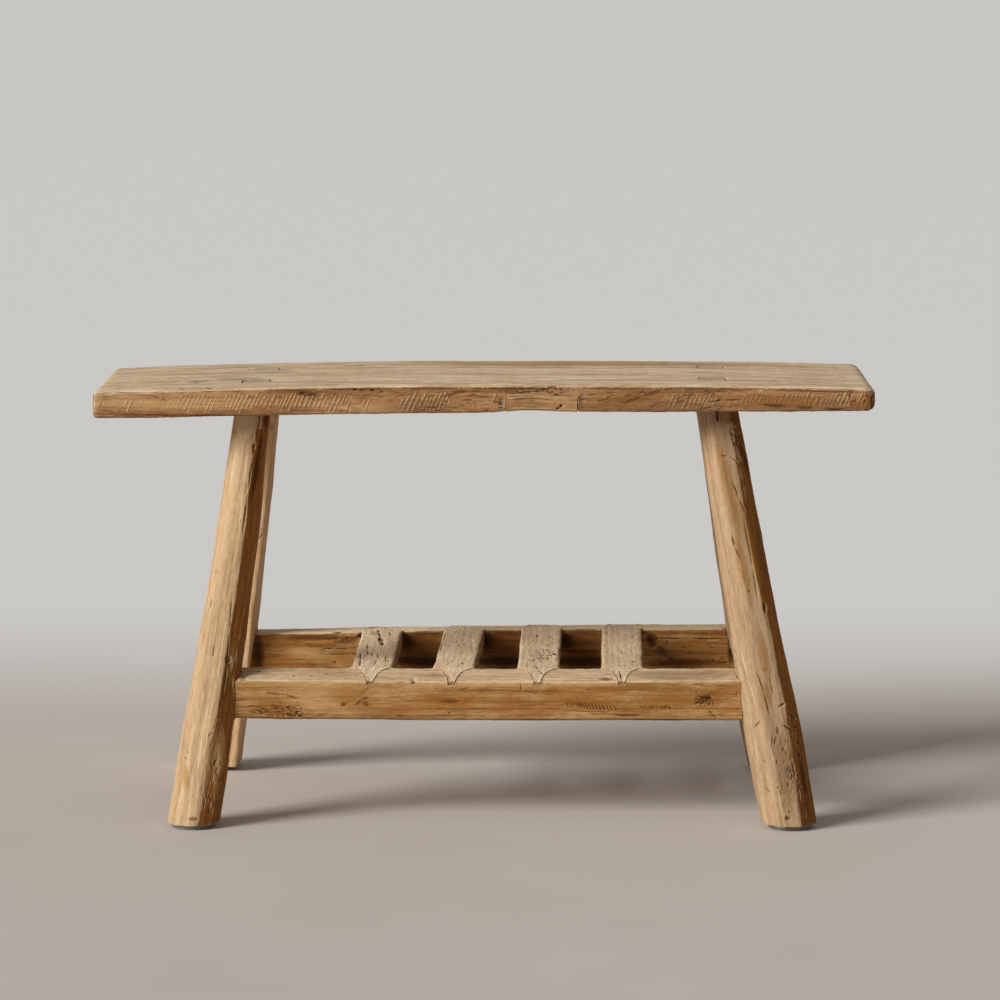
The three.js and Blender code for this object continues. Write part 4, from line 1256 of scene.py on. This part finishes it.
# %% Marks on the right front leg
BLEMISHES_AND_PAINTED_LIGHT["leg_front_right"] = on_face("front", lambda z: -219 + 0.248 * z, [
    ([(271.9, 479), (271.8, 464)], 1.4, "black", 3.0),
    ((299, 440), (7, 36), 10, "honey", 0),
    ([(288, 466), (293, 441), (299, 418)], 2.4, "pale", 0.5),
    ((296, 446), (5.5, 24), 10, "specks", 0.7),
    ([(286, 458), (289, 447), (292, 436)], 1.0, "brown", 0.9),
    # painted shade on the leg's dark right side
    ((302, 430), (5, 44), 12, "umber", 0),
    ((285, 470), (26, 11), 0, "dusk", 0),
    ([(293, 452), (297, 438), (300, 424)], 0.9, "brown", 0.7),
    ([(274, 426), (286, 425.4), (297, 417)], 0.8, "brown", 0.8),
    ([(298, 414), (302, 395), (306, 372)], 1.2, "pale", 0),
    ([(288.6, 398), (296.7, 378), (304.8, 360)], 1.2, "brown", 0.4),
    ([(288.4, 335), (291.8, 321), (298.7, 308)], 1.8, "brown", 0.5),
    ((326.5, 252), (2.4, 7), 10, "brown", 0.7),
    ((327, 254), (1.2, 4), 10, "black", 0.8),
    ((308, 272), (1.6, 1.6), 0, "brown", 0.4),
    ((326.6, 183), (4.6, 3.6), 0, "orange", 0.2),
    ([(341, 140.5), (351, 146)], 1.2, "brown", 1.2),
    ([(353, 134.5), (366, 120.7)], 1.4, "brown", 1.3),
    ([(346, 121), (359, 114)], 1.3, "brown", 1.2),
    ([(314, 117.5), (320, 125.8)], 1.0, "brown", 0.8),
    ((364, 99), (1.6, 1.8), 0, "black", 0.9),
    ((366, 86), (1.6, 2.2), 0, "black", 0.9),
    ([(323, 81), (327, 77)], 0.8, "brown", 0.7),
    ([(327, 49), (331, 45)], 0.8, "brown", 0.7),
    ((357, 67), (9, 9), 0, "specks", 0.5),
    ([(371, 66), (374, 40), (378, 12)], 1.8, "brown", 0.4),
    ([(364, 60), (366, 34)], 1.0, "brown", 0.4),
    ([(297.5, 206), (306, 174), (315.4, 142)], 1.0, "pale", 0),
    ([(329, 108), (338, 64), (347, 10)], 1.1, "pale", 0),
    ((328, 155), (8, 24), 8, "honey", 0.3),
    ([(317, 180), (325, 158), (331, 132)], 1.2, "brown", 0.5),
    ([(331, 176), (336, 152)], 1.0, "brown", 0.4),
    ((352, 16), (4, 3), 0, "brown", 1.2),
    ([(303, 350), (312, 300), (318, 262)], 1.2, "brown", 0.3),
    # painted shade on the foot's middle facet, which turns away from the light
    ((348, 72), (13, 68), 8, "dusk", 0),
    ((286, 385), (11, 84), 13, "honey", 0),
    ((301, 300), (8, 60), 13, "honey", 0),
    ((324, 200), (7, 50), 13, "honey", 0),
    # painted shade on the foot's dark right side
    ((369, 70), (5, 60), 8, "umber", 0),
    ((309, 330), (6, 70), 12, "honey", 0),
    *nicks(40, 9, (336, 370), (16, 128), (2, 5.5), 96, "brown", 0.9, -0.14),
    *nicks(26, 13, (336, 372), (16, 128), (2, 5), 62, "straw", 0.6, -0.14),
    *nicks(12, 17, (336, 352), (24, 90), (1.5, 4), 92, "honey", 0.5, -0.14),
    *nicks(12, 19, (290, 300), (418, 468), (2, 5), 104, "pale", 0.8, -0.22),
    *nicks(10, 21, (291, 301), (418, 468), (1.5, 4), 100, "brown", 0.8, -0.22),
])
print("marks on the right front leg:", len(BLEMISHES_AND_PAINTED_LIGHT["leg_front_right"]))

# %% Marks on the left back leg and on the tenons' ends
BLEMISHES_AND_PAINTED_LIGHT["leg_back_left"] = on_face("front", lambda z: 168 - 0.22 * z, [
    ((-258, 440), (4, 8), 0, "honey", 0),
    ([(-271, 306), (-276, 298)], 0.9, "brown", 0.7),
    ([(-283, 150), (-287, 100)], 1.6, "pale", 0),
])
TENON_PLACES = {"leg_front_left": (-268, -68), "leg_front_right": (256, -67),
                "leg_back_left": (-257, 70), "leg_back_right": (259, 70)}
for leg, tenon_place in TENON_PLACES.items():
    BLEMISHES_AND_PAINTED_LIGHT.setdefault(leg, []).extend(
        on_face("top", 508, [(tenon_place, (40, 34), 0, "grey", 0)]))
print("tenons with a grey end:", len(TENON_PLACES))

# %% Legs
# the shoulder lies between these shares of a leg's height
SHOULDER = (0.8, 0.9)
# the heart's dark and light colour, and how much painted shade the leg has on its +X side.
# The hearts also hold painted light: the right front leg is darker for the light's falloff
# across the bench, and the left back leg is paler for painted light on its lit strip
LEG_HEARTS_AND_LIGHT = {
    "leg_front_left": ("967850", "e2c29a", 0.92),
    "leg_front_right": ("8a6d4e", "cfb08a", 0.92),
    "leg_back_left": ("b48c60", "fad4a4", 0.2),
    "leg_back_right": ("82664a", "c6a884", 0.6),
}
LEG_BLEACHED = ("a88c66", "d8bd96")


def leg_way(node):
    """The direction of a leg, from its foot to its shoulder."""
    co = mesh_points(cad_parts[node].data)
    height = co[:, 2]
    foot = co[height < height.min() + 1 * MM].mean(0)
    low, high = (share * height.max() for share in SHOULDER)
    shoulder = co[(height > low) & (height < high)].mean(0)
    return Vector(shoulder - foot).normalized()


for i, (node, (dark, light, painted_shade_side)) in enumerate(LEG_HEARTS_AND_LIGHT.items()):
    seed = 11.0 + i * 3.7
    leg_finish = teak(node + "_teak", (dark, light), LEG_BLEACHED, BLEMISHES_AND_PAINTED_LIGHT[node], seed=seed,
                      pith=(0.0, 0.006, 0.004), ring_width=0.005, bleach=0.7,
                      streak_width=0.0015, contrast=0.55, band=0.5, painted_shade_side=painted_shade_side,
                      cloudy=0.22)
    make_timber(node, "leg_wood", leg_way(node), 1.5 * MM, leg_finish, Proud=0.5 * MM,
                finer=lambda co, joint: joint and co.z > SEAT_FINE_TOP,
                Scoop_Depth=1.3 * MM, Scoop_Length=0.085, Scoop_Width=0.018,
                Fibre_Depth=0.2 * MM, Edge_Bite=0.6 * MM, Seed=seed)

# %% [markdown]
# ## Rails and slats
#
# The two long rails are darker and stained, and the four slats let into their tops are
# grey and split. The back rail also has painted shade between the slats and where the
# legs and the fourth slat shade it, and painted light where light falls on it. The front
# rail's row of saw kerfs could be drawn one by one. As they follow a line, a short list of
# places and one loop make them, and the wide ones are picked out by where they lie.

# %% Marks on the front rail
KERF, WIDE_KERF, WIDEST_KERF = 0.6, 1.1, 1.2
# where the kerfs to the right of the rail's middle lie, by X and Z
KERFS = [(97, 141), (101, 141), (104.5, 140.6), (107.6, 140.4), (110.5, 140), (113, 139.6),
         (116, 139.2), (119.5, 139), (123, 138.6), (127, 138.2), (131, 138), (135, 137.6),
         (139.5, 137.4), (144, 137), (148, 136.8), (153, 136.4)]
BLEMISHES_AND_PAINTED_LIGHT["rail_front"] = on_face("front", -166, [
    ((-243, 139), (38, 17), -3, "orange", 0),
    ((-243, 134), (31, 9), -3, "specks", 0.5),
    *nicks(34, 23, (-272, -212), (126, 139), (1.2, 3.2), -16, "brown", 0.6),
    *nicks(26, 61, (-180, 90), (126, 164), (4, 12), -4, "ginger", 0.0),
    *nicks(16, 25, (-232, -208), (125, 132), (1.2, 3), -20, "black", 0.7),
    *nicks(16, 27, (-262, -200), (142, 160), (2, 5), -14, "orange", 0.2),
    ((-190, 152), (110, 30), 0, "straw", 0),
    ((0, 163), (200, 3.5), 0, "straw", 0),
    ((-150, 146), (44, 18), -20, "honey", 0),
    ((-40, 146), (60, 16), 0, "honey", 0),
    ((110, 148), (60, 16), 0, "honey", 0),
    ((220, 148), (60, 22), 0, "ginger", 0),
    ((140, 139), (60, 9), -4, "orange", 0),
    ((-223, 128), (9, 4), 0, "specks", 0.6),
    ((-263, 130), (14, 3), 0, "specks", 0.6),
    ([(-254, 154), (-232, 151), (-214, 147)], 1.2, "brown", 0.3),
    ((-163, 140), (4.5, 3), -10, "brown", 0.4),
    ([(-171, 136), (-151, 147), (-129, 164)], 3.4, "orange", 0),
    ([(-149, 139), (-141, 146), (-134, 149)], 2.0, "brown", 0.2),
    ((-137, 141), (5, 3.4), -20, "brown", 0.2),
    ((-52, 146), (30, 6.5), -5, "orange", 0),
    ((-38, 144), (12, 3.4), 0, "brown", 0.2),
    ([(-28, 140), (-8, 152), (9, 163)], 4.4, "orange", 0),
    ((79, 156), (13, 5), 12, "orange", 0),
    ((116, 151), (28, 3.4), 6, "honey", 0),
    ((-40, 130), (1.5, 1.3), 0, "black", 0.8),
    ([(-103, 127), (-90, 125.4), (-75, 124.4)], 0.6, "black", 0.6),
    ([(43, 165), (43, 157)], 0.6, "brown", 0.6),
    ((-82, 167.4), (3.0, 3.0), 0, "black", 1.6),
] + [([(x - 2, z + 4), (x + 2, z - 4)], KERF if abs(x - 115) > 5 else WIDE_KERF, "brown", 0.7)
     for x, z in KERFS] + [
    ([(x - 2.6, 139.6), (x + 2.6, 134.6)], KERF if x < 206 else WIDEST_KERF, "brown", 0.7)
    for x in (184, 188.5, 193, 197, 201, 205, 208.5, 212, 216)] + [
    ((167, 127.6), (19, 2.0), 0, "brown", 0.2),
    ([(83, 132.6), (150, 132), (215, 131.4)], 0.5, "brown", 0.3),
    ((264, 147), (20, 17), 10, "orange", 0),
    ((258, 147), (9, 7), 10, "umber", 0.5),
    ((257, 146), (12, 10), 30, "specks", 0.8),
    *nicks(22, 29, (246, 268), (139, 155), (1, 2.4), 58, "brown", 0.8),
    *nicks(12, 31, (250, 264), (141, 151), (0.8, 2), 60, "black", 0.9),
    ([(262, 134), (265.4, 129.6), (270, 124)], 0.8, "brown", 0.6),
    ([(293.5, 156), (293.5, 150)], 0.6, "brown", 0.6),
    ((294.6, 135), (1.2, 1.0), 0, "brown", 0.5),
    ((-280, 172), (5, 6), 0, "brown", 1.0),
    ([(-270, 122.6), (-60, 121.6), (120, 122), (280, 122.4)], 0.8, "brown", 0),
    ([(-200, 150), (-120, 148), (-90, 150)], 1.8, "dusk", 0),
    ([(160, 158), (240, 156)], 2.4, "dusk", 0),
    ([(20, 136), (90, 144)], 1.6, "dusk", 0),
]) + on_face("top", 172, [
    ([(-266, -136), (-259, -139)], 1.2, "black", 0.9),
    ((-221, -149.8), (3, 1.4), 0, "brown", 0.7),
    ((-200.6, -149), (2.6, 1.4), 0, "brown", 0.7),
    ((-183, -143), (3, 1.4), 0, "brown", 0.7),
    ((-159.5, -156), (3, 1.4), 0, "brown", 0.7),
    ((-147, -147), (3, 1.4), 0, "brown", 0.7),
    ((143, -156), (9, 6), 8, "brown", 1.6),
    ((-60, -145), (30, 3), 0, "dusk", 0),
    ((230, -148), (90, 22), 0, "dusk", 0),
])
print("marks on the front rail:", len(BLEMISHES_AND_PAINTED_LIGHT["rail_front"]))

# %% Marks on the back rail
BLEMISHES_AND_PAINTED_LIGHT["rail_back"] = on_face("front", 137, [
    # painted shadow cast by the left back leg on the rail's end
    ((-281, 152), (10, 34), 0, "shade", 0),
    ((-210, 171), (62, 5.5), 1, "umber", 0.3),
    ((-172, 168), (24, 7), 8, "umber", 0.2),
    # the straw and honey patches below are painted light where light falls on the rail's left part
    ((-225, 152), (34, 9), 3, "straw", 0),
    ((-180, 143), (46, 7), 0, "honey", 0),
    ((-190, 160), (60, 3), -2, "dusk", 0),
    ([(-202, 156.6), (-186, 157), (-170, 157.5)], 0.8, "black", 0.9),
    ((-186.5, 140), (1.5, 1.5), 0, "black", 1.0),
    ([(-238, 166.7), (-224, 164), (-211, 160.6)], 0.8, "brown", 0.5),
    ((-171.6, 170.5), (1.8, 1.4), 0, "black", 0.6),
    ((-158, 171.8), (1.8, 1.4), 0, "black", 0.6),
    ((-154.5, 174), (4.5, 5), 0, "black", 0.8),
    # between the slats: painted shade in umber and shade, and at each gap's upper right a ginger
    # streak of painted light
    *[row for middle in (-80, 18, 116) for row in (
        ((middle, 156), (48, 62), 0, "umber", 0),
        ((middle - 19, 166), (13, 17), 20, "shade", 0),
        ((middle, 142), (70, 9), 0, "shade", 0),
        ((middle + 12, 171.6), (16, 3.4), -5, "ginger", 0.2))],
    ([(96, 154), (139, 154.2)], 0.8, "black", 0.6),
    ((245, 141), (62, 7), 0, "umber", 0),
    ((245, 152), (62, 26), 0, "dusk", 0),
    # painted light on a lit band
    ((262, 160), (34, 7), 0, "honey", 0),
    ((216, 172), (24, 2.4), 0, "ginger", 0),
    ([(198, 170.4), (246, 170.6), (296, 170.5)], 0.7, "black", 0.6),
    # the shade patch and the diagonal umber streak are the fourth slat's painted shadow; the streak
    # is also sunk 0.1 mm
    ((202, 172), (10, 7), 0, "shade", 0),
    ([(196, 170), (208, 160), (222, 148), (232, 138)], 7.5, "umber", 0.1),
    ((221, 166), (2.0, 1.4), 0, "black", 0.6),
    ((274, 144), (9, 5), -30, "specks", 0.4),
    *nicks(14, 33, (200, 290), (140, 168), (3, 8), -4, "umber", 0.3),
    # painted shade where the rail's right end meets the leg
    ((299, 154), (5, 22), 0, "shade", 0),
]) + on_face("top", 180, [
    ((-182.7, 139), (7, 2.2), 0, "black", 0.8),
    ((260, 143), (10, 2.2), 0, "brown", 0.9),
    ((290, 142), (6, 3), 0, "brown", 0.9),
    ((-68, 160), (5, 3), 0, "brown", 0.5),
])
print("marks on the back rail:", len(BLEMISHES_AND_PAINTED_LIGHT["rail_back"]))

# %% Rails
# the joints with the slats are seen close: they lie above this Z and within this X
JOINT_ABOVE = 160 * MM
SLATS_WITHIN = 200 * MM
RAIL_TONES = {
    "rail_front": (("7d5026", "cda066"), ("b0906a", "e4caa4")),
    "rail_back": (("663f17", "c48f50"), ("c8a478", "fce4bc")),
}
for i, (node, (heart, bleached)) in enumerate(RAIL_TONES.items()):
    seed = 31.0 + i * 5.3
    rail_finish = teak(node + "_teak", heart, bleached, BLEMISHES_AND_PAINTED_LIGHT[node], seed=seed,
                       pith=(0.0, 0.05, 0.09), ring_width=0.007, streak_width=0.0017,
                       contrast=0.9, cloudy=0.7)
    make_timber(node, "rail_wood", (1, 0, 0), 2.2 * MM, rail_finish,
                finer=lambda co, joint: joint and co.z > JOINT_ABOVE and abs(co.x) < SLATS_WITHIN,
                Proud=0.2 * MM, Scoop_Depth=0.6 * MM, Scoop_Length=0.07, Scoop_Width=0.022,
                Fibre_Depth=0.3 * MM, Edge_Bite=0.9 * MM, Seed=seed)

# %% [markdown]
# Each slat has a tapered tongue at both ends that lies in the rails' tops. The grain runs
# along Y here instead of X. The four could be copies of one slat, but the eye tells them
# apart by their splits, so each has its own table and seed, and one loop makes them.

# %% Marks on the slats
BLEMISHES_AND_PAINTED_LIGHT["shelf_slat_1"] = on_face("top", 179, [
    ([(-141, 160), (-134, 150), (-132, 128), (-129, 92)], 1.6, "black", 1.6),
    ([(-129, 92), (-130, 66), (-125, 44)], 2.0, "black", 1.8),
    ((-125, 42), (3.2, 12), 0, "black", 1.8),
    ((-127, 70), (3.4, 30), 4, "umber", 0.8),
    ([(-119, 128), (-117, 116), (-119, 104)], 1.4, "black", 1.2),
    ((-139, 168), (6, 8), 0, "umber", 0.6),
    ([(-143, 40), (-141, 0), (-140, -42)], 1.4, "umber", 0.7),
    ([(-136, -18), (-134, -46)], 1.1, "brown", 0.5),
    ([(-126, 9), (-114, 8)], 1.2, "brown", 0.8),
    ([(-149, -23), (-147, -70), (-146, -118)], 1.1, "black", 0.8),
    ((-114, -83), (1.6, 9), 0, "brown", 0.5),
    ([(-128, -20), (-127, -70), (-130, -112)], 1.0, "brown", 0.4),
    ([(-118, -30), (-117, -90)], 0.9, "brown", 0.4),
    ((-136, 120), (9, 26), 0, "dusk", 0),
])
BLEMISHES_AND_PAINTED_LIGHT["shelf_slat_2"] = on_face("top", 179, [
    ([(-31, 64), (-22, 59), (-12, 57)], 1.4, "black", 0.9),
    ((-44, 27), (2, 5), 0, "brown", 0.8),
    *nicks(12, 51, (-50, -8), (-40, 120), (2, 7), 86, "brown", 0.3),
    ((-26, -95), (2.4, 9), 4, "brown", 0.4),
    ((-17, 10), (3, 60), 2, "dusk", 0),
    ([(-50, 120), (-52, 60), (-54, -20)], 0.9, "brown", 0.4),
])
BLEMISHES_AND_PAINTED_LIGHT["shelf_slat_3"] = on_face("top", 179, [
    ([(68, 46), (76, 36), (88, 40)], 2.0, "brown", 1.0),
    ((75, 24), (2.4, 4), 0, "black", 0.9),
    ((58, -73), (3, 5), 0, "black", 0.9),
    ((71, -56), (3, 5), 20, "brown", 0.9),
    ((83, -34), (3, 9), 0, "black", 1.4),
    ([(60, -108), (63, -125), (70, -149)], 1.2, "brown", 0.7),
    ((70, -40), (15, 60), 0, "specks", 0.5),
    *nicks(16, 53, (52, 90), (-90, 120), (2, 7), 84, "brown", 0.4),
    ((62, 90), (2, 16), 4, "brown", 0.4),
])
BLEMISHES_AND_PAINTED_LIGHT["shelf_slat_4"] = on_face("top", 179, [
    ((147, 109), (1.4, 9), 0, "brown", 0.6),
    ((176, -84), (2.4, 6), 0, "brown", 0.7),
    ((178, 81), (1.1, 14), 0, "brown", 0.5),
    ((146, 91), (1.1, 7), 0, "brown", 0.5),
    ([(158, -134), (160, -158)], 1.1, "black", 1.2),
    ((163, -26), (1.2, 12), 3, "brown", 0.4),
    *nicks(10, 55, (146, 184), (-100, 130), (2, 8), 88, "brown", 0.3),
])
print("marks on the slats:", [len(BLEMISHES_AND_PAINTED_LIGHT[f"shelf_slat_{i}"]) for i in (1, 2, 3, 4)])

# %% Slats
SLAT_HEART = ("71512f", "a8865c")
SLAT_BLEACHED = ("c09f74", "f9e2c0")
SLAT_BLEACH = (1.0, 1.0, 1.0, 0.84)
for i, bleach in enumerate(SLAT_BLEACH):
    node = f"shelf_slat_{i + 1}"
    seed = 51.0 + i * 4.1
    slat_finish = teak(node + "_teak", SLAT_HEART, SLAT_BLEACHED, BLEMISHES_AND_PAINTED_LIGHT[node], seed=seed,
                       pith=(0.0, 0.03, -0.05), ring_width=0.006, streak_width=0.0016,
                       contrast=0.55, bleach=bleach)
    make_timber(node, "slat_wood", (0, 1, 0), 1.6 * MM, slat_finish,
                finer=lambda co, joint: joint and co.z > JOINT_ABOVE,
                Proud=0.15 * MM, Scoop_Depth=0.5 * MM, Scoop_Length=0.05, Scoop_Width=0.016,
                Fibre_Depth=0.4 * MM, Fibre_Length=0.03, Fibre_Width=0.0028,
                Edge_Bite=1.0 * MM, Seed=seed)

# %% [markdown]
# ## Wedges, pegs and glides
#
# A wedge is driven across each tenon's end to spread it in the seat, a peg is driven
# through each joint of a rail, and a glide under each foot keeps the wood off the floor.
# They are small and mostly hidden, but they tell how the bench is held together. The
# wedges share one finish and the pegs another, and only the seed of the hewing differs.
# Plain cylinders and boxes would do from afar. Fine copies of the solids fit their holes.

# %% Wedges
CORNERS = ("front_left", "front_right", "back_left", "back_right")
wedge_finish = teak("wedge_teak", ("8d7f6c", "b0a28c"), ("a89d8c", "d6ccb8"), seed=71.0,
                    streak_width=0.0012)
for seed, corner in enumerate(CORNERS):
    make_timber("tenon_wedge_" + corner, "wedge_wood", (0, 0, 1), 0.6 * MM, wedge_finish,
                Scoop_Depth=0.0, Proud=0.0, Fibre_Depth=0.1 * MM, Edge_Bite=0.2 * MM,
                Seed=71.0 + seed)

# %% Pegs
peg_finish = teak("peg_teak", ("6f4c2a", "94683c"), ("8a6b48", "a88a64"), seed=81.0,
                  streak_width=0.0016)
for seed, corner in enumerate(CORNERS):
    make_timber("rail_peg_" + corner, "peg_wood", (0, 1, 0), 0.7 * MM, peg_finish,
                Scoop_Depth=0.2 * MM, Proud=0.0, Fibre_Depth=0.15 * MM,
                Edge_Bite=0.4 * MM, Seed=81.0 + seed)

# %% [markdown]
# The glides are thin hazy plastic discs, the only pieces that aren't wood. They need no
# grain and no hewing, only a scuffed finish: one noise mixes two greys and changes the
# roughness with them, so that the darker scuffs are duller too.

# %% Glides
GLIDE_COLORS = ("83817a", "55534e")
SCUFF_SCALE = 160.0

glide_finish = bpy.data.materials.new("hazy_glide")
glide_finish.use_nodes = True
glide_tree = glide_finish.node_tree
glide_shader = glide_tree.nodes["Principled BSDF"]
glide_place = add_node(glide_tree, "ShaderNodeTexCoord").outputs["Object"]
scuffs = noise_node(glide_tree, glide_place, SCUFF_SCALE, 5.0, 0.7)
glide_tree.links.new(mix(glide_tree, scuffs, *map(paint, GLIDE_COLORS)),
                     glide_shader.inputs["Base Color"])
glide_tree.links.new(times_plus(glide_tree, scuffs, 0.4, 0.3), glide_shader.inputs["Roughness"])
for corner in CORNERS:
    node = "foot_glide_" + corner
    glide = fine_timber(node, 0.9 * MM, (1, 0, 0))
    set_points(glide.data, keep_in_box(mesh_points(glide.data)))
    glide.data.materials.append(glide_finish)
    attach(glide, "root")
    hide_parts(node)
    print(glide.name, len(glide.data.polygons), "faces")
